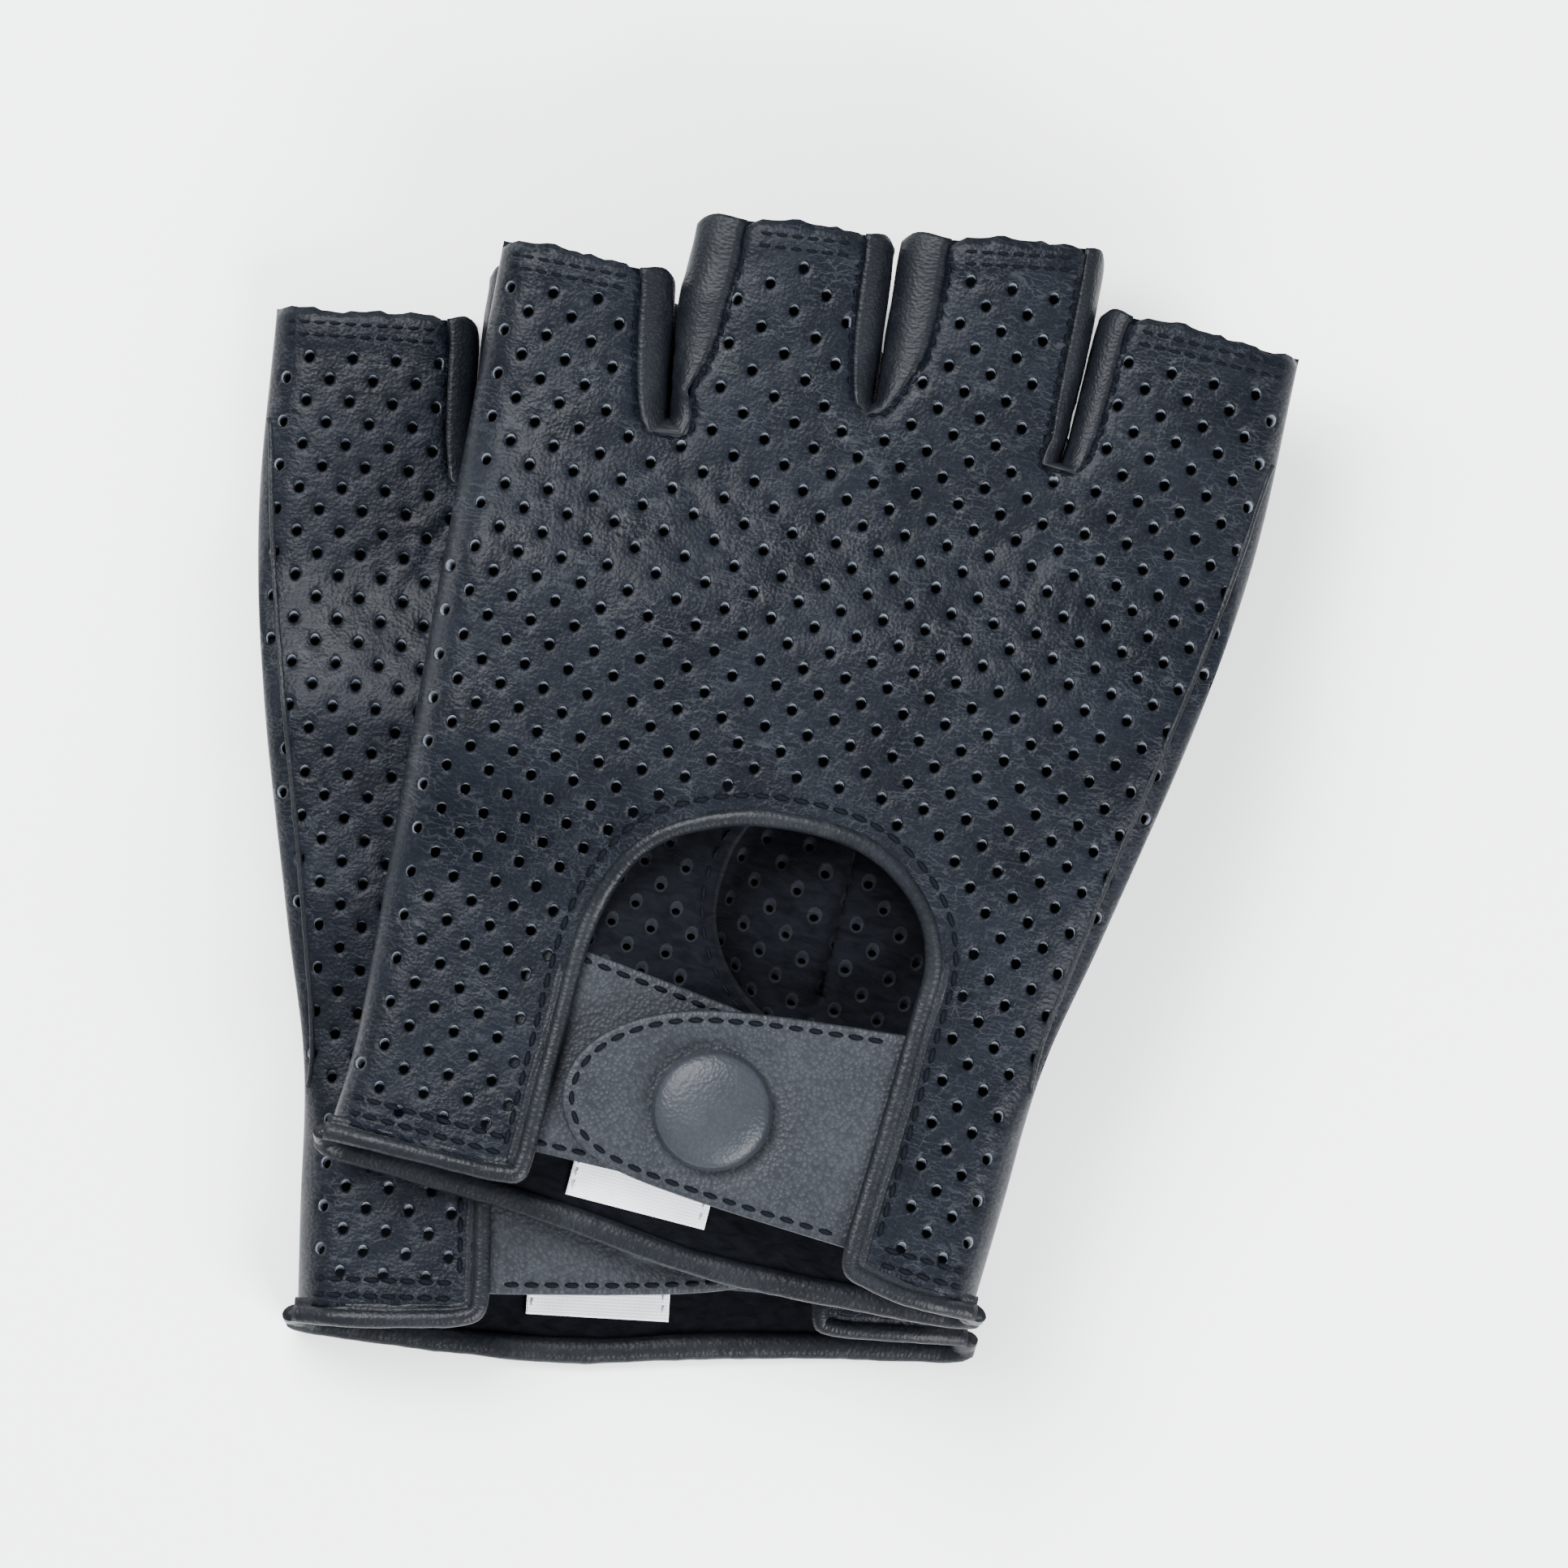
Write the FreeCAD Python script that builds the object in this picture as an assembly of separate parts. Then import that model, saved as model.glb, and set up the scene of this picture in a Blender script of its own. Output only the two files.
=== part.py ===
import FreeCAD, Part
import math
import os
from FreeCAD import Vector

# A pair of fingerless leather driving gloves, one laid on the other.
# Each glove is drawn as a left hand in its own frame: u runs across the
# hand towards the index finger, v runs from the wrist to the fingertips,
# z is up, and z = 0 is what the glove lies on.  Millimetres.

LEATHER = 0.9                # thickness of the glove leather
BINDING_WIDTH = 2.6          # width of the rolled leather binding
BINDING_SWELL = 0.6          # how far a binding stands out of the leather
FINGER_HEIGHT = 11.0         # height of a flattened finger stall
BACK_HEIGHT = 16.5           # height over the middle of the hand
PINKY_TAB_HEIGHT = 10.4      # top of the wrist tab on the little finger side
INDEX_TAB_HEIGHT = 14.6      # top of the wrist tab on the index finger side
CROWN_DROP = 2.2             # how far the back falls to the side edges
CROWN_POWER = 4              # how late across the width that fall comes
WRIST_HALF = 46.0            # half the width at the wrist
HAND_SPREAD = 10.0           # extra half width at the fingers
SPREAD_RUN = (20.0, 110.0)   # v over which the width grows
CLOSURE_RUN = (-18.0, 18.0)  # u over which the wrist tabs change height
WRIST_RUN = (37.0, 60.0)     # v over which the wrist rises to the hand
KNUCKLE_RUN = (80.0, 104.0)  # v over which the hand falls to the fingers
PALM_RISE = 8.0              # rise of the palm over the tucked thumb
RISE_RUN = (22.0, 34.0)      # v over which the palm rises
SETTLE_RUN = (93.0, 107.0)   # v over which it comes down again
RISE_SIDE = (-40.0, -20.0)   # u over which it rises from the little finger side
STALL_STRIP = 5.2            # width of a fourchette seen on the back
HEM_DEPTH = 3.6              # depth of the bound hem at the wrist
OPENING_FLOOR = 5.0          # the opening cuts only leather above this height
HOLLOW_RUN = 8.0             # run of the hollow out of the open fingertips
CORNER_CUT = 0.25            # share of an edge taken off at each end to round a corner
WIDE = 30.0                  # run past an edge when trimming
TRIM = 1.0                   # short run past a face when drilling

LEFT_TURN = -14.5            # turn of the upper glove about Z, degrees
RIGHT_TURN = -3.3            # turn of the lower glove about Z, degrees
LEFT_AT = Vector(-17.62, -60.71, 17.2)
RIGHT_AT = Vector(-20.32, -75.11, 0.0)
LEFT_ROLL = 0.0              # sideways roll of the closure as it lies
RIGHT_ROLL = -7.0

# Side edges from the wrist up to the fingertips.
PINKY_EDGE = [(-45.7, 1.2), (-45.2, 12.0), (-45.6, 22.0), (-47.0, 40.0), (-49.6, 74.0),
              (-51.2, 98.0), (-53.0, 125.5)]
INDEX_EDGE = [(45.6, -1.3), (46.1, 14.0), (46.7, 34.0), (50.2, 54.0), (55.1, 84.0),
              (57.3, 109.0), (56.4, 137.0)]
# The three gaps, each from the tip of one finger round its crotch to the next tip.
GAPS = [
    [(-29.0, 127.9), (-27.4, 116.0), (-25.5, 106.5), (-24.4, 104.8), (-23.3, 106.5),
     (-25.4, 121.0), (-27.9, 136.4)],
    [(-1.7, 139.6), (0.2, 127.0), (1.6, 116.0), (2.5, 114.2), (3.4, 116.0), (2.0, 127.0),
     (-0.2, 141.2)],
    [(27.1, 144.6), (28.0, 129.0), (28.5, 114.5), (29.4, 112.6), (30.3, 114.5),
     (30.4, 126.0), (29.8, 137.8)],
]
# Wrist edge of the palm between the two side edges.
PALM_HEM = [(-45.7, -0.6), (-27.0, -1.0), (-10.0, -2.0), (7.0, -3.6), (23.0, -3.2), (45.6, -1.6)]
# Free edge of the opening in the back: up one tab, over the arch, down the other.
OPENING = [(-19.6, 1.0), (-17.8, 3.4), (-17.7, 20.0), (-17.3, 38.0), (-13.2, 49.2), (-5.0, 54.9),
           (4.5, 57.2), (15.2, 56.7), (23.3, 52.0), (27.4, 45.0), (27.5, 36.0), (27.1, 20.0),
           (26.6, 3.0), (28.2, -0.2)]
FLAP = [(26.3, 34.0), (3.4, 31.4), (-7.2, 28.2), (-14.6, 22.6), (-16.8, 15.6), (-14.4, 10.2),
        (-9.0, 6.9), (2.0, 5.2), (26.0, 4.0)]
UNDER_STRAP = [(-25.0, 5.8), (-4.0, 6.2), (14.5, 7.0), (17.2, 12.0), (17.2, 25.0), (14.0, 30.5),
               (-8.6, 33.4), (-25.0, 35.2)]
LABEL_BOX = (-13.4, 2.5, 6.2, 12.5)   # u0, v0, u1, v1 of the woven label
LABEL_THICK = 0.4
LABEL_CLEAR = 0.25           # air between the label and the palm leather

STRAP_LAYER = 0.9            # each strap is two layers of this leather
UNDER_STRAP_Z = 7.2          # underside of the strap that carries the stud
FLAP_Z = 11.6                # underside of the snap strap

SNAP = (4.4, 17.5)           # centre of the snap fastener
CAP_RADIUS = 8.3
CAP_HEIGHT = 3.6
CAP_RIM = 1.0
SHANK_RADIUS = 1.3
SHANK_HOLE = 1.5
SOCKET_RADIUS = 5.6
SOCKET_HEIGHT = 1.8
SOCKET_ROUND = 0.5
SOCKET_BORE = 2.5
SOCKET_BORE_DEPTH = 1.4
STUD_FLANGE_RADIUS = 4.5
STUD_FLANGE = 0.5
STUD_RADIUS = 1.9
STUD_HEIGHT = 1.9
POST_RADIUS = 4.5
POST_THICK = 0.6

THUMB_AT = (17.0, 52.0)      # centre of the thumb's base
THUMB_BASE = 17.0            # radius of the base of the thumb piece
THUMB_HOLE = 14.5            # radius of the thumb opening in the palm
THUMB_LENGTH = 38.0
THUMB_TIP_HALF = 12.5
THUMB_ANGLE = 100.0          # direction of the tucked thumb in the u, v plane
THUMB_BOTTOM = 0.4
THUMB_TOP = 7.2

GRID_STEP = 9.0              # spacing of the heights a leather surface passes through
GRID_U = [GRID_STEP * i for i in range(-8, 9)]
GRID_V = [GRID_STEP * i for i in range(-2, 18)]


def ease(a, b, x):
    """Smooth step from 0 at a to 1 at b."""
    t = min(1.0, max(0.0, (x - a) / (b - a)))
    return t * t * (3.0 - 2.0 * t)


def half_width(v):
    return WRIST_HALF + HAND_SPREAD * ease(*SPREAD_RUN, v)


def recess(u, v):
    """How far the palm is lifted over the thumb, 0 to 1."""
    return ease(*RISE_RUN, v) * (1.0 - ease(*SETTLE_RUN, v)) * ease(*RISE_SIDE, u)


def palm_under(u, v):
    return -LEATHER + (PALM_RISE + LEATHER) * recess(u, v)


def palm_top(u, v):
    return LEATHER + PALM_RISE * recess(u, v)


def back_top(u, v):
    across = ease(*CLOSURE_RUN, u)
    wrist = PINKY_TAB_HEIGHT + (INDEX_TAB_HEIGHT - PINKY_TAB_HEIGHT) * across
    hand = BACK_HEIGHT + (FINGER_HEIGHT - BACK_HEIGHT) * ease(*KNUCKLE_RUN, v)
    height = wrist + (hand - wrist) * ease(*WRIST_RUN, v)
    side = min(1.0, abs(u) / half_width(v))
    return height - CROWN_DROP * side ** CROWN_POWER


def surface(height, lift=0.0):
    """Smooth face through the heights over the whole grid."""
    rows = [[Vector(u, v, height(u, v) + lift) for v in GRID_V] for u in GRID_U]
    sheet = Part.BSplineSurface()
    sheet.interpolate(rows)
    return sheet.toShape()


def above(height, lift=0.0):
    return surface(height, lift).extrude(Vector(0, 0, 4 * WIDE))


def rounded(points, steps=2):
    """Points with extra ones cut across each corner so the outline turns softly."""
    near = 1.0 - CORNER_CUT
    for _ in range(steps):
        soft = [points[0]]
        for (ax, ay), (bx, by) in zip(points[:-1], points[1:]):
            soft.append((near * ax + CORNER_CUT * bx, near * ay + CORNER_CUT * by))
            soft.append((CORNER_CUT * ax + near * bx, CORNER_CUT * ay + near * by))
        soft.append(points[-1])
        points = soft
    return points


def shifted(points, distance):
    """Open line of points moved sideways, positive to the right of travel."""
    moved = []
    last = len(points) - 1
    for i, (x, y) in enumerate(points):
        ax, ay = points[max(0, i - 1)]
        bx, by = points[min(last, i + 1)]
        length = math.hypot(bx - ax, by - ay)
        moved.append((x + distance * (by - ay) / length, y - distance * (bx - ax) / length))
    return moved


def extended(points, run):
    """Open line of points run on past both of its ends."""
    def beyond(tip, before):
        length = math.hypot(tip[0] - before[0], tip[1] - before[1])
        grow = run / length
        return (tip[0] + grow * (tip[0] - before[0]), tip[1] + grow * (tip[1] - before[1]))
    return [beyond(points[0], points[1])] + list(points) + [beyond(points[-1], points[-2])]


def curve(points):
    spline = Part.BSplineCurve()
    spline.interpolate([Vector(x, y, 0) for x, y in points])
    return spline.toShape()


def line(here, there):
    return Part.makeLine(Vector(here[0], here[1], 0), Vector(there[0], there[1], 0))


def outline_face(up, gaps, down):
    """Flat face with two smooth side edges and the finger gaps cut into its far end."""
    tips = [up[-1]] + [point for gap in gaps for point in gap] + [down[0]]
    edges = [curve(up), curve(down), line(down[-1], up[0])]
    edges += [line(a, b) for a, b in zip(tips[:-1], tips[1:])]
    return Part.Face(Part.Wire(Part.__sortEdges__(edges)))


def prism(face, low=-WIDE, high=2 * WIDE):
    return face.translated(Vector(0, 0, low)).extrude(Vector(0, 0, high - low))


def polygon(points):
    loop = [Vector(x, y, 0) for x, y in points]
    return Part.Face(Part.makePolygon(loop + loop[:1]))


def rolled(points, roll):
    return [(x + roll, y) for x, y in points]


def disc(radius, low, high, centre):
    return Part.makeCylinder(radius, high - low, Vector(centre[0], centre[1], low))


def biggest(shape):
    return max(shape.Solids, key=lambda solid: solid.Volume)


def glove_plan(inset, run):
    """Plan of the whole glove, drawn in from its sides and run past its ends."""
    pinky = shifted(PINKY_EDGE, inset)
    index = shifted(INDEX_EDGE, -inset)
    gaps = [shifted(rounded(gap), inset) for gap in GAPS]
    if run > 0:
        pinky = extended(pinky, run)
        index = extended(index, run)
        gaps = [extended(gap, run) for gap in gaps]
    return prism(outline_face(pinky, gaps, list(reversed(index))))


def stall_zone(gap):
    """The plan around one finger gap that its fourchette covers."""
    return prism(polygon(extended(shifted(rounded(gap), STALL_STRIP), WIDE)))


def opening_plan(roll, margin):
    edge = rolled(OPENING, roll)
    if margin > 0:
        edge = shifted(edge, -margin)
    first, last = edge[0], edge[-1]
    return prism(polygon([(first[0], -WIDE)] + edge + [(last[0], -WIDE)]), OPENING_FLOOR, 2 * WIDE)


def wrist_band(depth):
    """Everything from beyond the wrist up to a line inside both wrist edges."""
    line = [(x, y + depth) for x, y in PALM_HEM]
    return prism(polygon([(-2 * WIDE, -WIDE), (-2 * WIDE, line[0][1])] + line
                         + [(2 * WIDE, line[-1][1]), (2 * WIDE, -WIDE)]))


def glove_shell():
    """Leather of one glove before its opening is cut: palm, back and the swollen rim."""
    whole = glove_plan(0.0, 0.0)
    over_palm = above(palm_top)
    over_back = above(back_top)
    palm_plan = whole.fuse(wrist_tongue())
    palm = palm_plan.common(above(palm_under)).cut(over_palm).common(ground(4 * WIDE))
    body = whole.common(over_palm).cut(over_back)
    hollow = glove_plan(LEATHER, HOLLOW_RUN).cut(above(back_top, -LEATHER))
    rim = whole.common(above(back_top, -LEATHER - BINDING_SWELL)).cut(above(back_top, BINDING_SWELL))
    palm_rim = palm_plan.common(ground(LEATHER + BINDING_SWELL))
    hole = disc(THUMB_HOLE, -WIDE, BACK_HEIGHT - 4 * LEATHER, THUMB_AT)
    return {"back": body.cut(hollow), "palm": palm.cut(hole), "rim": rim, "palm_rim": palm_rim}


def ground(high):
    return Part.makeBox(8 * WIDE, 8 * WIDE, high, Vector(-4 * WIDE, -2 * WIDE, 0))


def wrist_tongue():
    """Palm leather that shows below the wrist edge of the back."""
    return prism(polygon([PINKY_EDGE[1]] + PALM_HEM + [INDEX_EDGE[1]]))


def glove_leather(shell, roll):
    """Back, palm, fourchettes and bindings, cut so that they meet edge to edge."""
    hem_band = wrist_band(HEM_DEPTH)
    opening = opening_plan(roll, 0.0)
    arch_band = opening_plan(roll, BINDING_WIDTH)
    tab_roll = shell["rim"].common(hem_band).cut(opening)
    side_hem = shell["back"].common(hem_band).cut(opening)
    wrist_binding = biggest(shell["palm_rim"].common(hem_band).fuse([side_hem, tab_roll]))
    edge_roll = shell["rim"].common(arch_band).cut(opening).cut(hem_band)
    opening_binding = biggest(edge_roll.cut(shell["palm"]))
    pieces = {"wrist_binding": wrist_binding, "opening_binding": opening_binding}
    back = shell["back"].cut(hem_band).cut(arch_band)
    palm = shell["palm"].cut(hem_band)
    for name, gap in zip(["little_ring", "ring_middle", "middle_index"], GAPS):
        zone = stall_zone(gap)
        pieces["fourchette_" + name] = biggest(back.common(zone).fuse(palm.common(zone)))
        back = back.cut(zone)
        palm = palm.cut(zone)
    pieces["back_panel"] = biggest(back)
    pieces["palm_panel"] = biggest(palm)
    return pieces


def thumb_stall():
    """Tube from a round base to an open tip, flattened under the palm."""
    def tube(inset, run, low, high):
        centre = Vector(THUMB_AT[0], THUMB_AT[1], low)
        base = Part.makeCylinder(THUMB_BASE - inset, high - low, centre)
        spread = THUMB_BASE - inset
        tip = THUMB_TIP_HALF - inset
        sleeve = prism(polygon([(0.0, -spread), (THUMB_LENGTH + run, -tip),
                                (THUMB_LENGTH + run, tip), (0.0, spread)]), low, high)
        sleeve.rotate(Vector(0, 0, 0), Vector(0, 0, 1), THUMB_ANGLE)
        sleeve.translate(Vector(THUMB_AT[0], THUMB_AT[1], 0))
        return base.fuse(sleeve)
    outer = tube(0.0, 0.0, THUMB_BOTTOM, THUMB_TOP)
    inner = tube(LEATHER, WIDE, THUMB_BOTTOM + LEATHER, THUMB_TOP - LEATHER)
    mouth = disc(THUMB_HOLE, THUMB_TOP - 2 * LEATHER, THUMB_TOP + TRIM, THUMB_AT)
    return biggest(outer.cut(inner).cut(mouth).removeSplitter())


def strap(points, low, thick, hole, centre):
    """Flat strap leather with rounded outline and a hole for the snap."""
    plate = prism(polygon(points), low, low + thick)
    return plate.cut(disc(hole, low - TRIM, low + thick + TRIM, centre))


def snap_cap(centre):
    """Leather covered dome with the shank that crimps into the socket."""
    top = FLAP_Z + 2 * STRAP_LAYER
    rise = CAP_HEIGHT - CAP_RIM
    ball = (CAP_RADIUS ** 2 + rise ** 2) / (2 * rise)
    dome = Part.makeSphere(ball, Vector(centre[0], centre[1], top + CAP_HEIGHT - ball))
    dome = dome.common(disc(CAP_RADIUS, top, top + 2 * CAP_HEIGHT, centre))
    return dome.fuse(disc(SHANK_RADIUS, FLAP_Z, top + CAP_RIM, centre))


def snap_socket(centre):
    body = disc(SOCKET_RADIUS, FLAP_Z - SOCKET_HEIGHT, FLAP_Z, centre)
    body = body.makeFillet(SOCKET_ROUND, [body.Edges[0], body.Edges[2]])
    bottom = FLAP_Z - SOCKET_HEIGHT
    return body.cut(disc(SOCKET_BORE, bottom - TRIM, bottom + SOCKET_BORE_DEPTH, centre))


def snap_stud(centre):
    base = UNDER_STRAP_Z + 2 * STRAP_LAYER
    flange = disc(STUD_FLANGE_RADIUS, base, base + STUD_FLANGE, centre)
    pin = disc(STUD_RADIUS, base, base + STUD_HEIGHT, centre)
    return flange.fuse(pin).removeSplitter()


def snap_post(centre):
    low = UNDER_STRAP_Z - POST_THICK
    flange = disc(POST_RADIUS, low, UNDER_STRAP_Z, centre)
    shank = disc(SHANK_RADIUS, low, UNDER_STRAP_Z + 2 * STRAP_LAYER, centre)
    return flange.fuse(shank).removeSplitter()


def fastening(roll):
    """Both straps, the snap fastener and the label."""
    centre = (SNAP[0] + roll, SNAP[1])
    flap = rolled(rounded(FLAP), roll)
    under = rolled(rounded(UNDER_STRAP), roll)
    u0, v0, u1, v1 = LABEL_BOX
    return {
        "snap_strap_outer": strap(flap, FLAP_Z + STRAP_LAYER, STRAP_LAYER, SHANK_HOLE, centre),
        "snap_strap_lining": strap(flap, FLAP_Z, STRAP_LAYER, SHANK_HOLE, centre),
        "under_strap_outer": strap(under, UNDER_STRAP_Z + STRAP_LAYER, STRAP_LAYER, SHANK_HOLE, centre),
        "under_strap_lining": strap(under, UNDER_STRAP_Z, STRAP_LAYER, SHANK_HOLE, centre),
        "snap_cap": snap_cap(centre),
        "snap_socket": snap_socket(centre),
        "snap_stud": snap_stud(centre),
        "snap_post": snap_post(centre),
        "woven_label": Part.makeBox(u1 - u0, v1 - v0, LABEL_THICK,
                                    Vector(u0 - roll, v0, LEATHER + LABEL_CLEAR)),
    }


def trimmed_straps(pieces):
    """The stud strap's two layers, cut away where the binding and the palm press on them."""
    trimmed = {}
    for name in ("under_strap_outer", "under_strap_lining"):
        layer = pieces[name].cut(pieces["opening_binding"])
        trimmed[name] = biggest(layer.cut(pieces["palm_panel"]))
    return trimmed


def placed(shape, mirrored, turn, at):
    if mirrored:
        shape = shape.mirror(Vector(0, 0, 0), Vector(1, 0, 0))
    shape.rotate(Vector(0, 0, 0), Vector(0, 0, 1), turn)
    shape.translate(at)
    return shape


def main():
    os.makedirs("parts", exist_ok=True)
    hands = [("left", False, LEFT_TURN, LEFT_AT, LEFT_ROLL),
             ("right", True, RIGHT_TURN, RIGHT_AT, RIGHT_ROLL)]
    shell = glove_shell()
    for hand, mirrored, turn, at, roll in hands:
        pieces = glove_leather(shell, roll)
        pieces["thumb_stall"] = thumb_stall()
        pieces.update(fastening(roll))
        pieces.update(trimmed_straps(pieces))
        for name, shape in pieces.items():
            placed(shape, mirrored, turn, at).exportStep("parts/%s_%s.step" % (hand, name))


main()
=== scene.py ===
import math

import bpy
import numpy as np
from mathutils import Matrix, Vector
from mathutils.geometry import delaunay_2d_cdt

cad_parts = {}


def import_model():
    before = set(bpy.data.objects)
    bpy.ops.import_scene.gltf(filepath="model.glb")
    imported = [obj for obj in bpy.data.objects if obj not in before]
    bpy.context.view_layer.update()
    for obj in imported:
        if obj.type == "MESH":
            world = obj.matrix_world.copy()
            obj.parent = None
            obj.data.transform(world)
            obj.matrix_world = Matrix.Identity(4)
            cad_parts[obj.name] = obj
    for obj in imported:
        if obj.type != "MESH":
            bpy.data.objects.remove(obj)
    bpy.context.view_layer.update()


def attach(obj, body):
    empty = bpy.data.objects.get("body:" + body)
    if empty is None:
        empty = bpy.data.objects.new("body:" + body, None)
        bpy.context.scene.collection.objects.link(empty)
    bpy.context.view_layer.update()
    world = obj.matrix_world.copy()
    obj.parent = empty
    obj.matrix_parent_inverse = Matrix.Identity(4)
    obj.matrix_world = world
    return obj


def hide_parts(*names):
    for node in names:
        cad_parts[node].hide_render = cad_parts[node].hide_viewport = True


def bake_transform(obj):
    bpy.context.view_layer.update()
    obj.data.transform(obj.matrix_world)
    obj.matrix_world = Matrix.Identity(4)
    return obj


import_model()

# A pair of fingerless leather driving gloves, drawn in each glove's own frame:
# u across the hand to the index finger, v from wrist to fingertips, z up, in mm.

LEATHER = 0.9           # thickness of one leather
HANDS = {
    "left": dict(mirror=1.0, turn=math.radians(-14.5), at=(-17.62, -60.71, 17.2), roll=0.0, seed=3),
    "right": dict(mirror=-1.0, turn=math.radians(-3.3), at=(-20.32, -75.11, 0.0), roll=-7.0, seed=11),
}

# Outlines: the side seams from wrist to fingertips, the three gaps between the fingers, the
# wrist edge of the palm, the opening in the back and the two straps.
PINKY_EDGE = [(-45.7, 1.2), (-45.2, 12.0), (-45.6, 22.0), (-47.0, 40.0), (-49.6, 74.0),
              (-51.2, 98.0), (-53.0, 125.5)]
INDEX_EDGE = [(45.6, -1.3), (46.1, 14.0), (46.7, 34.0), (50.2, 54.0), (55.1, 84.0),
              (57.3, 109.0), (56.4, 137.0)]
GAPS = [
    [(-29.3, 127.7), (-28.5, 124.6), (-26.9, 116.0), (-25.4, 108.2), (-25.1, 106.9), (-24.9, 108.2),
     (-26.6, 116.0), (-28.1, 124.4), (-27.7, 128.0), (-28.1, 136.2)],
    [(-1.2, 139.5), (-0.7, 137.0), (0.1, 130.0), (0.9, 122.0), (1.4, 117.2), (1.55, 116.0),
     (1.75, 117.2), (1.2, 122.0), (0.45, 130.0), (-0.3, 137.0), (-0.4, 140.8)],
    [(27.3, 144.7), (28.0, 137.0), (28.3, 130.0), (28.4, 122.0), (28.3, 116.0), (28.45, 114.4),
     (28.48, 116.0), (28.52, 122.0), (28.42, 130.0), (28.5, 135.0), (29.0, 137.6)],
]
GAP_STRIPS = [(4.8, 6.7), (4.1, 6.7), (2.9, 4.0)]   # fourchette width either side of each gap
CROTCH_STRIP = 1.9      # and where it turns round the crotch
PALM_HEM = [(-45.7, -0.6), (-27.0, -1.0), (-10.0, -2.0), (7.0, -3.6), (23.0, -3.2), (45.6, -1.6)]
OPENING = [(-19.6, 1.0), (-17.8, 3.4), (-17.7, 20.0), (-17.3, 38.0), (-13.2, 49.2), (-5.0, 54.9),
           (4.5, 57.2), (15.2, 56.7), (23.3, 52.0), (27.4, 45.0), (27.5, 36.0), (27.1, 20.0),
           (26.6, 3.0), (28.2, -0.2)]
FLAP = [(30.5, 34.3), (26.3, 34.0), (3.4, 31.6), (-7.2, 28.4), (-14.6, 22.6), (-16.8, 15.6),
        (-14.2, 9.8), (-9.0, 6.6), (2.0, 5.0), (26.0, 3.8), (30.5, 3.8)]
UNDER_STRAP = [(-25.0, 5.8), (-4.0, 6.2), (14.5, 7.0), (17.2, 12.0), (17.2, 25.0), (14.0, 30.5),
               (-8.6, 33.4), (-25.0, 35.2)]
SNAP = (4.4, 17.5)      # axis of the snap fastener
FLAP_Z = 11.6           # underside of the snap strap
UNDER_Z = 7.2           # underside of the strap that carries the stud
STRAP_THICK = 1.8       # outer leather and lining together
STRAP_LINING = 0.88
STRAP_STITCH_INSET = 1.35
FOLD_FROM = 27.4        # two places across the snap strap, made into points by fold_line
FOLD_TO = 22.8
FOURCHETTE_THICK = 0.85
SIDE_ROLL = 6.0         # how far in from the side seams the flattened glove is rounded
GROUND = 0.02           # nothing goes lower than this
THUMB_AT = (17.0, 52.0)             # axis that the thumb swings on
THUMB_EYE = (17.0, 48.0, 20.0, 18.5)    # centre and half widths of the thumb's hole in the palm
THUMB_TURN = math.radians(100.0)    # where the thumb points
THUMB_LONG = 38.0
THUMB_HALF = 12.5
THUMB_SWING = 65        # degrees
THUMB_MIDDLE = 3.8      # height of the middle of the flattened thumb
LABEL_BOX = (-12.2, 1.3, 7.4, 11.3)     # u0, v0, u1, v1
LABEL_THICK = 0.25
HOLE_R = 0.66           # punched holes
HOLE_TALL = 1.28        # longer along the hand than across it
HOLE_SINK = 0.36        # how far the lower rim is drawn towards the wrist
PITCH_U = 5.9           # spacing of the holes in a row
PITCH_V = 5.95          # spacing of every second row


# ---------------------------------------------------------------- small maths

def ease(a, b, x):
    t = np.clip((np.asarray(x, float) - a) / (b - a), 0.0, 1.0)
    return t * t * (3.0 - 2.0 * t)


def smooth_line(points, step=1.0):
    """Catmull-Rom through the points, resampled at an even step."""
    p = np.array(points, float)
    ext = np.vstack([2 * p[0] - p[1], p, 2 * p[-1] - p[-2]])
    out = []
    for i in range(1, len(ext) - 2):
        a, b, c, d = ext[i - 1], ext[i], ext[i + 1], ext[i + 2]
        for t in np.linspace(0, 1, 24, endpoint=False):
            out.append(0.5 * (2 * b + (c - a) * t + (2 * a - 5 * b + 4 * c - d) * t * t
                              + (3 * b - a - 3 * c + d) * t ** 3))
    out.append(p[-1])
    return resample(np.array(out), step)


def resample(line, step):
    seg = np.linalg.norm(np.diff(line, axis=0), axis=1)
    run = np.concatenate([[0], np.cumsum(seg)])
    n = max(2, int(round(run[-1] / step)) + 1)
    at = np.linspace(0, run[-1], n)
    return np.stack([np.interp(at, run, line[:, k]) for k in range(line.shape[1])], axis=1)


def closed_line(loop):
    return np.vstack([loop, loop[:1]])


def averaged(values, reach):
    """Running mean over this many neighbours either side."""
    kernel = np.ones(2 * reach + 1) / (2 * reach + 1)
    return np.convolve(np.pad(values, reach, mode="edge"), kernel, "valid")


def chaikin(points, times=2):
    """Corners cut off again and again, ends kept."""
    p = np.array(points, float)
    for _ in range(times):
        q = [p[0]]
        for a, b in zip(p[:-1], p[1:]):
            q.append(0.75 * a + 0.25 * b)
            q.append(0.25 * a + 0.75 * b)
        q.append(p[-1])
        p = np.array(q)
    return p


def normals_right(line):
    """Unit normals to the right of travel along an open 2-D line."""
    d = np.gradient(line, axis=0)
    d /= np.linalg.norm(d, axis=1)[:, None] + 1e-12
    return np.stack([d[:, 1], -d[:, 0]], axis=1)


def offset(line, distance):
    distance = np.broadcast_to(distance, (len(line),))
    return line + normals_right(line) * distance[:, None]


def untangle(line, source, distance, slack=0.06):
    """Drop offset points that fell nearer to the source than the offset."""
    return line[distance_to(line, source) > distance - slack]


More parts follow.
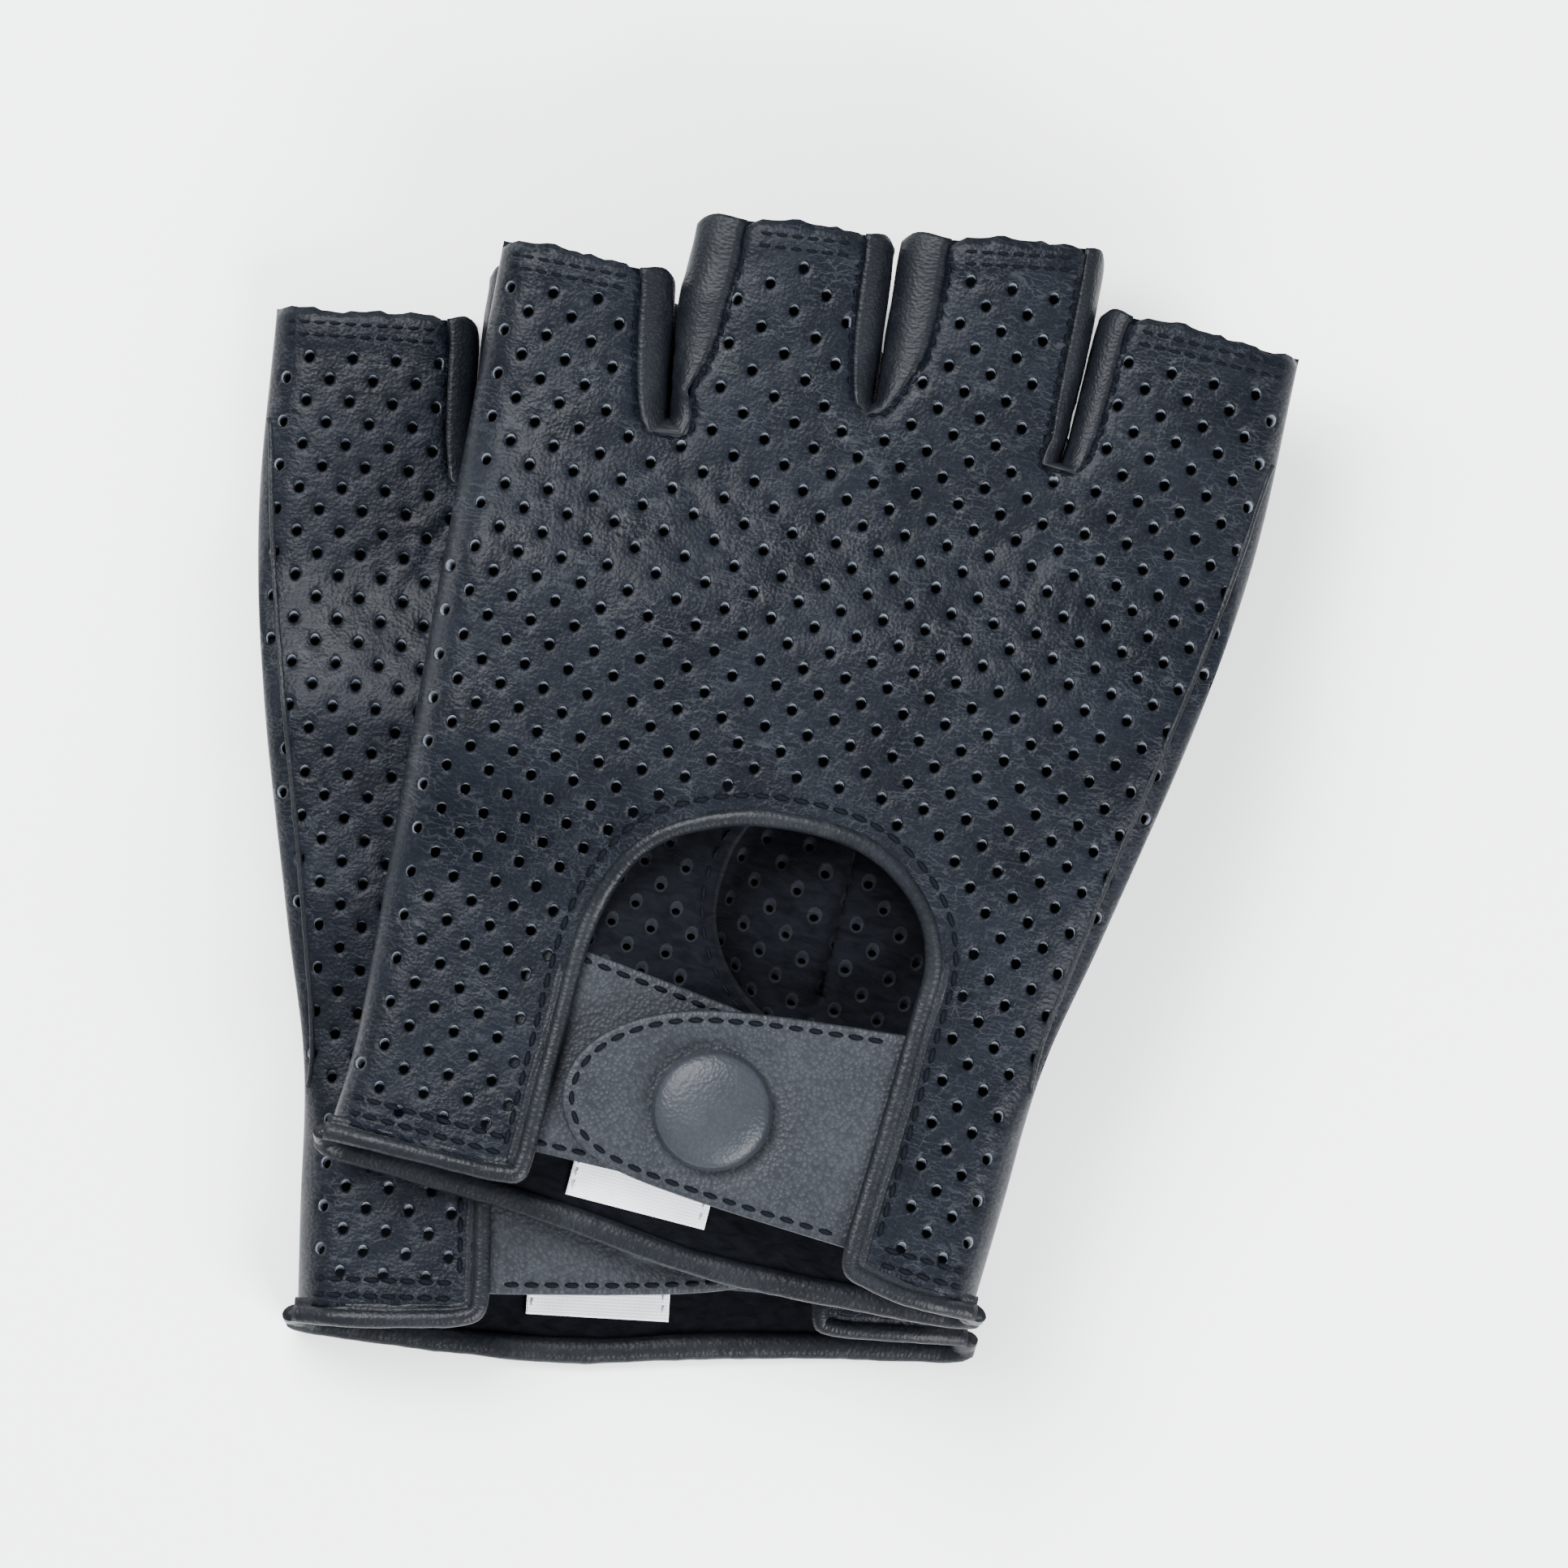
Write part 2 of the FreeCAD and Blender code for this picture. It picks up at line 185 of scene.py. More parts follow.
def distance_to(points, line):
    best = np.full(len(points), 1e9)
    for a, b in zip(line[:-1], line[1:]):
        d = b - a
        t = np.clip(((points - a) @ d) / (d @ d + 1e-12), 0, 1)
        gap = points - (a + t[:, None] * d)
        best = np.minimum(best, np.einsum("ij,ij->i", gap, gap))
    return np.sqrt(best)


def inside(points, loop):
    x, y = points[:, 0], points[:, 1]
    hit = np.zeros(len(points), bool)
    for (x0, y0), (x1, y1) in zip(loop, np.roll(loop, -1, axis=0)):
        if y0 == y1:
            continue
        hit ^= ((y0 > y) != (y1 > y)) & (x < (x1 - x0) * (y - y0) / (y1 - y0) + x0)
    return hit


def inset(loop, distance):
    """The loop moved inwards."""
    normal = normals_right(closed_line(loop))[:-1]
    sign = 1.0 if inside((loop + normal * 0.5)[:1], loop)[0] else -1.0
    return loop + sign * normal * distance


def value_noise(points, scale, seed):
    """Smooth noise from -1 to 1 on 2-D or 3-D points, repeatable."""
    p = np.asarray(points, float) / scale
    cell = np.floor(p).astype(np.int64)
    f = p - cell
    f = f * f * (3 - 2 * f)
    total = np.zeros(len(p))
    dims = p.shape[1]
    for corner in range(2 ** dims):
        bits = [(corner >> k) & 1 for k in range(dims)]
        weight = np.ones(len(p))
        key = np.full(len(p), seed * 7919 + 17, np.int64)
        for k in range(dims):
            weight = weight * (f[:, k] if bits[k] else 1 - f[:, k])
            key = key * 1664525 + (cell[:, k] + bits[k]) * (374761393 + 668265263 * k)
            key = (key ^ (key >> 13)) & 0x7FFFFFFF
        key = (key * 1274126177) & 0x7FFFFFFF
        key = (key ^ (key >> 16)) & 0xFFFF
        total += weight * (key / 32767.5 - 1.0)
    return total


# ------------------------------------------------------------- glove surfaces

def half_width(v):
    return 46.0 + 10.0 * ease(20.0, 110.0, v)


def back_height(u, v):
    across = ease(-18.0, 18.0, u)
    wrist = 10.4 + 4.2 * across
    hand = 16.5 - 5.5 * ease(80.0, 104.0, v)
    height = wrist + (hand - wrist) * ease(37.0, 60.0, v)
    side = np.minimum(1.0, np.abs(u) / half_width(v))
    return height - 2.2 * side ** 4


def palm_height(u, v):
    lift = ease(22.0, 34.0, v) * (1 - ease(93.0, 107.0, v)) * ease(-40.0, -20.0, u)
    return 8.0 * lift


PINKY = smooth_line(PINKY_EDGE, 1.0)
INDEX = smooth_line(INDEX_EDGE, 1.0)
GAP_LINES = [resample(chaikin(g, 2), 0.5) for g in GAPS]


def strip_width(k, line):
    left, right = GAP_STRIPS[k]
    run = np.linspace(-1, 1, len(line))
    full = left + (right - left) * ease(-0.2, 0.2, run)
    return CROTCH_STRIP + (full - CROTCH_STRIP) * (1 - (1 - np.abs(run)) ** 4.5)


def strip_edge(k):
    """Seam between the back leather and the fourchette of gap k."""
    line = GAP_LINES[k]
    width = strip_width(k, line)
    edge = resample(untangle(offset(line, width), line, width), 0.7)
    soft = np.array([averaged(edge[:, axis], 3) for axis in (0, 1)]).T
    soft[:2], soft[-2:] = edge[:2], edge[-2:]
    return soft


STRIP_EDGES = [strip_edge(k) for k in range(3)]


def roll_off(d, r):
    """Rises from 0 at the edge to 1 at distance r, like the side of a rounded edge."""
    t = np.clip(1 - d / r, 0, 1)
    return np.sqrt(np.maximum(0.0, 1 - t ** 2.2))


def crease(points, a, b, width, depth, seed):
    """Soft valley along a wavering line from a to b, fading at both ends."""
    a, b = np.array(a, float), np.array(b, float)
    d = b - a
    length = np.linalg.norm(d)
    d /= length
    along = (points - a) @ d
    across = (points - a) @ np.array([-d[1], d[0]])
    across = across + 0.9 * value_noise(np.stack([along, np.zeros_like(along)], 1), 5.0, seed)
    fade = ease(-1.0, 0.25 * length, along) * (1 - ease(0.6 * length, length, along))
    return -0.55 * depth * fade * (np.exp(-(across / width) ** 2)
                            - 0.55 * np.exp(-((across - 1.7 * width) / (1.2 * width)) ** 2))


# Each crease runs from the first point to the second, with its width and depth.
BACK_CREASES = [
    ((-24.0, 103.5), (-33.0, 92.0), 0.9, 0.45), ((-23.5, 103.0), (-14.0, 93.0), 0.9, 0.5),
    ((-24.0, 102.0), (-25.0, 88.0), 1.0, 0.35), ((-21.0, 101.0), (-6.0, 98.0), 0.8, 0.35),
    ((3.0, 112.0), (-5.0, 100.0), 0.9, 0.45), ((3.5, 112.0), (13.0, 101.0), 0.9, 0.5),
    ((3.0, 111.0), (4.0, 95.0), 1.0, 0.3), ((6.0, 108.0), (19.0, 104.0), 0.8, 0.35),
    ((29.5, 110.5), (20.0, 100.0), 0.9, 0.5), ((30.0, 110.5), (39.0, 97.0), 1.0, 0.5),
    ((29.5, 109.0), (28.0, 92.0), 1.0, 0.35), ((33.0, 108.0), (48.0, 103.0), 0.8, 0.3),
    ((-36.0, 84.0), (-12.0, 79.0), 1.5, 0.28), ((-8.0, 84.0), (20.0, 88.0), 1.6, 0.3),
    ((10.0, 76.0), (40.0, 84.0), 1.4, 0.3), ((-30.0, 68.0), (-4.0, 71.0), 1.5, 0.22),
    ((2.0, 67.0), (30.0, 66.0), 1.3, 0.25), ((33.0, 57.0), (45.0, 72.0), 1.5, 0.35),
    ((31.0, 50.0), (43.0, 55.0), 1.2, 0.3), ((30.0, 12.0), (40.0, 3.0), 1.0, 0.45),
    ((29.5, 18.0), (42.0, 12.0), 1.1, 0.35), ((-22.0, 55.0), (-36.0, 66.0), 1.4, 0.3),
    ((-40.0, 30.0), (-32.0, 10.0), 1.4, 0.25),
]


def flat_section(points):
    """Upper, lower and middle height of the flattened glove, and the distance from its side seams."""
    top = back_height(points[:, 0], points[:, 1])
    low = palm_height(points[:, 0], points[:, 1])
    side = np.minimum(distance_to(points, PINKY), distance_to(points, INDEX))
    return top, low, 0.5 * (top + low), side


def back_surface(points, hand, seam_lines=()):
    """Height of the outside of the back over 2-D points."""
    top, low, mid, side = flat_section(points)
    z = mid + (top - mid) * roll_off(side, SIDE_ROLL)
    for line in seam_lines:
        d = distance_to(points, line)
        z = z - 0.75 * np.exp(-d / 2.6) - 0.30 * np.exp(-(d / 0.45) ** 2)
    seed = hand["seed"]
    calm = roll_off(side, 4.0)
    z = z + calm * (0.42 * value_noise(points, 17.0, seed) + 0.16 * value_noise(points, 7.0, seed + 1)
                    + 0.05 * value_noise(points, 2.6, seed + 2))
    for i, (a, b, width, depth) in enumerate(BACK_CREASES):
        z = z + calm * crease(points, a, b, width, depth, seed + 20 + i)
    return z


def palm_surface(points, hand):
    """Height of the outside of the palm over 2-D points."""
    top, low, mid, side = flat_section(points)
    z = mid - (mid - low) * roll_off(side, SIDE_ROLL)
    bump = 0.25 * value_noise(points, 13.0, hand["seed"] + 5) * ease(0.5, 3.0, low)
    return np.maximum(z + bump, GROUND)


# ---------------------------------------------------------------- mesh makers

def world(points, hand):
    """From millimetres in a glove's own frame to metres in the scene."""
    p = np.asarray(points, float)
    x = hand["mirror"] * p[:, 0]
    c, s = math.cos(hand["turn"]), math.sin(hand["turn"])
    out = np.stack([x * c - p[:, 1] * s, x * s + p[:, 1] * c, p[:, 2]], axis=1)
    return (out + np.array(hand["at"])) * 0.001


def make(name, hand, verts, faces, materials, index=None, uv=None, smooth=True):
    """A mesh object from local points; uv defaults to the local plan in cm."""
    verts = np.asarray(verts, float)
    if hand["mirror"] < 0:
        faces = [tuple(reversed(f)) for f in faces]
    mesh = bpy.data.meshes.new(name)
    mesh.from_pydata([tuple(p) for p in world(verts, hand)], [], [tuple(map(int, f)) for f in faces])
    for material in materials:
        mesh.materials.append(material)
    if index is not None:
        mesh.polygons.foreach_set("material_index", np.asarray(index, np.int32))
    flat = (verts[:, :2] if uv is None else np.asarray(uv, float)) * 0.1
    layer = mesh.uv_layers.new(name="UVMap")
    loops = np.empty(len(mesh.loops), np.int32)
    mesh.loops.foreach_get("vertex_index", loops)
    layer.data.foreach_set("uv", flat[loops].astype(np.float32).ravel())
    mesh.polygons.foreach_set("use_smooth", np.full(len(mesh.polygons), smooth))
    mesh.update()
    obj = bpy.data.objects.new(name, mesh)
    bpy.context.scene.collection.objects.link(obj)
    return obj


def vertex_normals(verts, faces):
    """Unit normals of triangle or quad meshes, weighted by area."""
    n = np.zeros_like(verts)
    for size in (3, 4):
        part = np.array([f for f in faces if len(f) == size], int)
        if len(part) == 0:
            continue
        a, b, c = verts[part[:, 0]], verts[part[:, 1]], verts[part[:, 2]]
        face = np.cross(b - a, c - a)
        for k in range(size):
            np.add.at(n, part[:, k], face)
    return n / (np.linalg.norm(n, axis=1)[:, None] + 1e-12)


def thicken(verts, faces, thick, gap=None):
    """Close a sheet by adding its inner side and its rims. Returns verts, faces, material index."""
    faces = [tuple(int(i) for i in f) for f in faces]
    inner = verts - vertex_normals(verts, faces) * thick
    if gap is not None:
        inner = inner + punch(gap)[0]
    n = len(verts)
    count = {}
    for f in faces:
        for a, b in zip(f, f[1:] + f[:1]):
            count[(a, b)] = count.get((a, b), 0) + 1
    rims = [(b, a, a + n, b + n) for (a, b) in count if (b, a) not in count]
    back = [tuple(i + n for i in reversed(f)) for f in faces]
    index = [0] * len(faces) + [1] * len(back) + [2] * len(rims)
    if gap is not None:
        r = np.linalg.norm(gap, axis=1)
        for i, f in enumerate(faces):
            if max(r[k] for k in f) < 1.0:
                index[len(faces) + i] = 3
    return np.vstack([verts, inner]), faces + back + rims, index


def triangulate(loop, extra, holes=(), islands=()):
    """Triangles over the inside of loop, less the small holes and the big islands."""
    points = [loop]
    edges = [(i, (i + 1) % len(loop)) for i in range(len(loop))]
    owner = [np.full(len(loop), -1)]
    start = len(loop)
    for k, rim in enumerate(list(holes) + list(islands)):
        points.append(rim)
        edges += [(start + i, start + (i + 1) % len(rim)) for i in range(len(rim))]
        owner.append(np.full(len(rim), k))
        start += len(rim)
    points.append(extra)
    owner.append(np.full(len(extra), -1))
    flat = np.vstack(points)
    owner = np.concatenate(owner)
    out = delaunay_2d_cdt([Vector(p) for p in flat], edges, [], 0, 1e-5)
    verts = np.array([tuple(p) for p in out[0]])
    tris = np.array([f for f in out[2] if len(f) == 3], int)
    source = np.array([ids[0] if ids else -1 for ids in out[3]])
    own = np.where(source >= 0, owner[source], -1)
    t = own[tris]
    keep = ~((t[:, 0] >= 0) & (t[:, 0] == t[:, 1]) & (t[:, 1] == t[:, 2]))
    centre = verts[tris].mean(axis=1)
    keep &= inside(centre, loop)
    for island in islands:
        keep &= ~inside(centre, island)
    tris = tris[keep]
    a, b, c = verts[tris[:, 0]], verts[tris[:, 1]], verts[tris[:, 2]]
    area = (b[:, 0] - a[:, 0]) * (c[:, 1] - a[:, 1]) - (b[:, 1] - a[:, 1]) * (c[:, 0] - a[:, 0])
    tris[area < 0] = tris[area < 0][:, ::-1]
    used = np.unique(tris)
    renumber = np.full(len(verts), -1)
    renumber[used] = np.arange(len(used))
    return verts[used], renumber[tris]


def hex_grid(loop, step):
    lo, hi = loop.min(axis=0), loop.max(axis=0)
    rows = []
    for j, y in enumerate(np.arange(lo[1], hi[1], step * 0.866)):
        x = np.arange(lo[0] + (0.5 * step if j % 2 else 0.0), hi[0], step)
        rows.append(np.stack([x, np.full(len(x), y)], axis=1))
    return np.vstack(rows)


def lattice(loop, shift, sway, seed):
    """Centres of the punched holes, fanning out towards the little finger."""
    rows = []
    for j in range(int(200.0 / (0.5 * PITCH_V))):
        y = -30.0 + 0.5 * PITCH_V * j
        x = np.arange(-90.0, 90.0, PITCH_U) + (0.5 * PITCH_U if j % 2 else 0.0) + shift
        rows.append(np.stack([x, np.full(len(x), y)], axis=1))
    p = np.vstack(rows)
    fan = 1 - ease(-34.0, 0.0, p[:, 0])
    p = np.stack([p[:, 0] - 0.12 * (p[:, 1] - 60.0) * fan,
                  p[:, 1] - 0.16 * 17.0 * np.logaddexp(0.0, -(p[:, 0] + 14.0) / 17.0)], axis=1)
    q = p + sway * np.stack([value_noise(p, 22.0, seed), value_noise(p, 22.0, seed + 1)], axis=1)
    return q[inside(q, loop)]


def ring(centre, radius, sides, turn=0.0, tall=1.0):
    a = np.arange(sides) * 2 * math.pi / sides + turn
    return np.stack([centre[0] + radius * np.cos(a), centre[1] + tall * radius * np.sin(a)], axis=1)


def punched_sheet(loop, holes, step, sides, near_edges, islands=()):
    """Plan mesh with punched holes, plus each vertex's offset from the nearest hole."""
    rings = [ring(c, HOLE_R, sides, 0.0, HOLE_TALL) for c in holes]
    halo = [ring(c, r, sides, math.pi / sides, HOLE_TALL) for c in holes for r in (0.92, 1.3)]
    grid = hex_grid(loop, step)
    grid = grid[inside(grid, loop)]
    grid = grid[distance_to(grid, closed_line(loop)) > 0.5 * step]
    for island in islands:
        grid = grid[~inside(grid, island)]
        grid = grid[distance_to(grid, closed_line(island)) > 0.5 * step]
    extra = [grid]
    for line in near_edges:
        line = line[inside(line, loop)]
        extra.append(line[distance_to(line, closed_line(loop)) > 0.05])
    extra = np.vstack(extra)
    cells = {}
    for c in holes:
        cells.setdefault((int(c[0] // 4), int(c[1] // 4)), []).append(c)

    def nearest(p):
        cu, cv = int(p[0] // 4), int(p[1] // 4)
        best = (9.0, 9.0)
        for du in (-1, 0, 1):
            for dv in (-1, 0, 1):
                for c in cells.get((cu + du, cv + dv), ()):
                    gap = (p[0] - c[0], (p[1] - c[1]) / HOLE_TALL)
                    if gap[0] ** 2 + gap[1] ** 2 < best[0] ** 2 + best[1] ** 2:
                        best = gap
        return best

    away = np.array([nearest(p) for p in extra])
    extra = np.vstack([extra[np.linalg.norm(away, axis=1) > 1.5]] + halo)
    verts, tris = triangulate(loop, extra, rings, islands)
    return verts, tris, np.array([nearest(p) for p in verts])


def punch(gap):
    """How the lower rim of each hole is drawn off its upper rim, and the dimple round it."""
    r = np.linalg.norm(gap, axis=1)
    on_rim = r < HOLE_R + 0.03
    drift = np.zeros((len(gap), 3))
    drift[on_rim, 0] = -0.12 * gap[on_rim, 0]
    drift[on_rim, 1] = -HOLE_SINK - 0.42 * HOLE_TALL * gap[on_rim, 1]
    return drift, -0.20 * np.exp(-((r - HOLE_R) / 0.30) ** 2)


def sweep(path, section, up=None):
    """Closed section carried along a 3-D path: section x is to the right, y is up."""
    path = np.asarray(path, float)
    t = np.gradient(path, axis=0)
    t /= np.linalg.norm(t, axis=1)[:, None] + 1e-12
    z = np.tile([0.0, 0.0, 1.0], (len(path), 1)) if up is None else np.asarray(up, float)
    right = np.cross(t, z)
    right /= np.linalg.norm(right, axis=1)[:, None] + 1e-9
    z = np.cross(right, t)
    section = np.asarray(section, float)
    if section.ndim == 2:
        section = np.tile(section, (len(path), 1, 1))
    verts = (path[:, None, :] + section[:, :, :1] * right[:, None, :]
             + section[:, :, 1:] * z[:, None, :]).reshape(-1, 3)
    m = section.shape[1]
    faces = []
    for i in range(len(path) - 1):
        for j in range(m):
            k = (j + 1) % m
            faces.append((i * m + j, i * m + k, (i + 1) * m + k, (i + 1) * m + j))
    faces.append(tuple(range(m - 1, -1, -1)))
    faces.append(tuple((len(path) - 1) * m + j for j in range(m)))
    run = np.concatenate([[0], np.cumsum(np.linalg.norm(np.diff(path, axis=0), axis=1))])
    around = np.linspace(0, 7.0, m)
    uv = np.stack([np.repeat(run, m), np.tile(around, len(path))], axis=1)
    return verts, faces, uv


def stitch_run(path, pitch=2.75, length=2.05, radius=0.33, sink=0.05, lift=0.18):
    """One row of thread: short arched stitches, each diving into the leather."""
    path = np.asarray(path, float)
    seg = np.linalg.norm(np.diff(path, axis=0), axis=1)
    run = np.concatenate([[0], np.cumsum(seg)])
    count = max(1, int(run[-1] // pitch))
    start = 0.5 * (run[-1] - count * pitch) + 0.5 * (pitch - length)
    verts, faces = [], []
    for i in range(count):
        at = start + i * pitch + length * np.linspace(0, 1, 6)
        centre = np.stack([np.interp(at, run, path[:, k]) for k in range(3)], axis=1)
        centre[:, 2] += [-sink - 0.18, 0.05, lift, lift, 0.05, -sink - 0.18]
        thick = radius * np.array([0.7, 1.0, 1.12, 1.12, 1.0, 0.7])
        t = np.gradient(centre, axis=0)
        t /= np.linalg.norm(t, axis=1)[:, None]
        right = np.cross(t, [0, 0, 1.0])
        right /= np.linalg.norm(right, axis=1)[:, None]
        z = np.cross(right, t)
        base = sum(len(v) for v in verts)
        for j in range(6):
            a = np.arange(6) * math.pi / 3
            verts.append(centre[j] + thick[j] * (np.cos(a)[:, None] * right[j] + np.sin(a)[:, None] * z[j]))
        for j in range(5):
            for k in range(6):
                m = (k + 1) % 6
                faces.append((base + 6 * j + k, base + 6 * j + m, base + 6 * j + 6 + m, base + 6 * j + 6 + k))
        faces.append(tuple(base + k for k in range(5, -1, -1)))
        faces.append(tuple(base + 30 + k for k in range(6)))
    return np.vstack(verts), faces


def join(parts):
    """Several meshes as one."""
    verts, faces, base = [], [], 0
    for v, f in parts:
        verts.append(v)
        faces += [tuple(i + base for i in g) for g in f]
        base += len(v)
    return np.vstack(verts), faces


# ------------------------------------------------------------------ materials

def srgb(r, g, b):
    def one(c):
        c /= 255.0
        return c / 12.92 if c <= 0.04045 else ((c + 0.055) / 1.055) ** 2.4
    return (one(r), one(g), one(b), 1.0)


class Nodes:
    """Short hand for building a material's node tree."""

    def __init__(self, name):
        self.material = bpy.data.materials.new(name)
        self.material.use_nodes = True
        self.tree = self.material.node_tree
        self.tree.nodes.clear()
        self.out = self.add("ShaderNodeOutputMaterial")
        self.bsdf = self.add("ShaderNodeBsdfPrincipled")
        self.link(self.bsdf, "BSDF", self.out, "Surface")

    def add(self, kind, **values):
        node = self.tree.nodes.new(kind)
        for key, value in values.items():
            setattr(node, key, value)
        return node

    def link(self, a, a_out, b, b_in):
        self.tree.links.new(a.outputs[a_out], b.inputs[b_in])

    def uv(self, scale=(1, 1, 1), rotation=0.0):
        coord = self.add("ShaderNodeTexCoord")
        mapping = self.add("ShaderNodeMapping")
        mapping.inputs["Scale"].default_value = scale
        mapping.inputs["Rotation"].default_value = (0, 0, rotation)
        self.link(coord, "UV", mapping, "Vector")
        return mapping

    def noise(self, mapping, scale, detail=3.0, rough=0.55, distortion=0.0):
        node = self.add("ShaderNodeTexNoise")
        node.inputs["Scale"].default_value = scale
        node.inputs["Detail"].default_value = detail
        node.inputs["Roughness"].default_value = rough
        node.inputs["Distortion"].default_value = distortion
        self.link(mapping, "Vector", node, "Vector")
        return node

    def ramp(self, source, output, stops):
        node = self.add("ShaderNodeValToRGB")
        while len(node.color_ramp.elements) < len(stops):
            node.color_ramp.elements.new(0.5)
        for element, (at, color) in zip(node.color_ramp.elements, stops):
            element.position = at
            element.color = color if hasattr(color, "__len__") else (color, color, color, 1)
        self.link(source, output, node, "Fac")
        return node

    def bump(self, source, output, strength, distance, previous=None):
        node = self.add("ShaderNodeBump")
        node.inputs["Strength"].default_value = strength
        node.inputs["Distance"].default_value = distance * 0.001
        self.link(source, output, node, "Height")
        if previous is not None:
            self.link(previous, "Normal", node, "Normal")
        return node

    def multiply(self, factor, a, b):
        node = self.add("ShaderNodeMix", data_type="RGBA", blend_type="MULTIPLY")
        node.inputs["Factor"].default_value = factor
        self.tree.links.new(a.outputs["Color"], node.inputs[6])
        self.tree.links.new(b.outputs["Color"], node.inputs[7])
        return node


def leather(name, dark, light, cell, grain_and_shade, crinkle, rough, specular, line, stretch=3.2):
    """Dyed leather: pebbled surface with painted shade between the pebbles and painted highlight on their
    tops, pale painted highlight along the hair creases, uneven dye and polish.
    """
    n = Nodes(name)
    mapping = n.uv()
    warp = n.noise(mapping, 5.0, 3.0)

    def warped(source, amount):
        node = n.add("ShaderNodeVectorMath", operation="MULTIPLY_ADD")
        node.inputs[1].default_value = (amount, amount, 0.0)
        n.link(warp, "Color", node, 0)
        n.link(source, "Vector", node, 2)
        return node

    cells = n.add("ShaderNodeTexVoronoi", feature="SMOOTH_F1")
    cells.inputs["Scale"].default_value = 10.0 / cell
    cells.inputs["Smoothness"].default_value = 0.35
    n.link(warped(mapping, 0.06), "Vector", cells, "Vector")
    plates = n.add("ShaderNodeTexVoronoi", feature="DISTANCE_TO_EDGE")
    plates.inputs["Scale"].default_value = 4.2
    n.link(warped(n.uv((1.0, stretch, 1.0), 0.10), 0.55), "Vector", plates, "Vector")
    hair = n.ramp(plates, "Distance", [(0.0, 1.0), (0.025, 0.55), (0.07, 0.0)])
    patch = n.ramp(n.noise(mapping, 1.4, 4.0, 0.6), "Fac", [(0.40, 0.15), (0.62, 1.0)])
    lines = n.add("ShaderNodeMath", operation="MULTIPLY")
    n.link(hair, "Color", lines, 0)
    n.link(patch, "Color", lines, 1)
    rolling = n.noise(n.uv((1.0, 2.4, 1.0), -0.08), 2.6, 4.0, 0.55, 0.7)
    fine = n.noise(mapping, 30.0, 3.0, 0.65)
    broad = n.noise(mapping, 0.9, 3.0, 0.5)
    soft = n.bump(rolling, "Fac", crinkle, 0.17)
    first = n.bump(cells, "Distance", min(1.0, grain_and_shade + 0.28), 0.11, soft)
    second = n.bump(lines, "Value", -crinkle, 0.06, first)
    third = n.bump(fine, "Fac", 0.5 * grain_and_shade, 0.06, second)
    n.link(third, "Normal", n.bsdf, "Normal")
    tone = n.ramp(broad, "Fac", [(0.32, dark), (0.68, light)])
    # Painted shade and highlight: darker in the valleys between pebbles, lighter on the pebble tops.
    shade = n.ramp(cells, "Distance", [(0.0, 1.45), (0.75, 0.45)])
    mixed = n.multiply(grain_and_shade, tone, shade)
    # Painted highlight: a pale bluish colour, scaled by line and crinkle, added along the creases for their
    # lit edges.
    crease_highlight = n.add("ShaderNodeMix", data_type="RGBA", blend_type="ADD")
    n.link(lines, "Value", crease_highlight, "Factor")
    n.tree.links.new(mixed.outputs[2], crease_highlight.inputs[6])
    crease_highlight.inputs[7].default_value = tuple(line * crinkle * tint for tint in (1.5, 1.62, 1.8)) + (1,)
    n.tree.links.new(crease_highlight.outputs[2], n.bsdf.inputs["Base Color"])
    polish = n.ramp(broad, "Fac", [(0.25, rough - 0.07), (0.75, rough + 0.08)])
    n.link(polish, "Color", n.bsdf, "Roughness")
    n.bsdf.inputs["Specular IOR Level"].default_value = specular
    return n.material


def suede(name, dark, light):
    """Napped flesh side: matt, fibrous, unevenly brushed."""
    n = Nodes(name)
    mapping = n.uv()
    nap = n.noise(mapping, 42.0, 4.0, 0.7)
    brushed = n.noise(n.uv((1.0, 2.4, 1.0), 0.5), 3.0, 4.0, 0.6, 0.8)
    tone = n.ramp(brushed, "Fac", [(0.3, dark), (0.72, light)])
    fleck = n.ramp(nap, "Fac", [(0.3, 0.72), (0.7, 1.2)])
    mixed = n.multiply(0.8, tone, fleck)
    n.tree.links.new(mixed.outputs[2], n.bsdf.inputs["Base Color"])
    n.link(n.ramp(nap, "Fac", [(0.0, 0.86), (1.0, 0.98)]), "Color", n.bsdf, "Roughness")
    n.link(n.bump(nap, "Fac", 0.6, 0.12), "Normal", n.bsdf, "Normal")
    n.bsdf.inputs["Specular IOR Level"].default_value = 0.04
    n.bsdf.inputs["Sheen Weight"].default_value = 0.006
    return n.material


def thread(name, color):
    """Twisted sewing thread."""
    n = Nodes(name)
    mapping = n.uv(rotation=0.7)
    wave = n.add("ShaderNodeTexWave")
    wave.inputs["Scale"].default_value = 9.0
    wave.inputs["Distortion"].default_value = 1.0
    n.link(mapping, "Vector", wave, "Vector")
    twist = n.ramp(wave, "Fac", [(0.2, tuple(0.6 * c for c in color[:3]) + (1,)), (0.8, color)])
    n.link(twist, "Color", n.bsdf, "Base Color")
    n.link(n.bump(wave, "Fac", 0.5, 0.08), "Normal", n.bsdf, "Normal")
    n.link(n.ramp(wave, "Fac", [(0, 0.6), (1, 0.8)]), "Color", n.bsdf, "Roughness")
    n.bsdf.inputs["Specular IOR Level"].default_value = 0.06
    return n.material


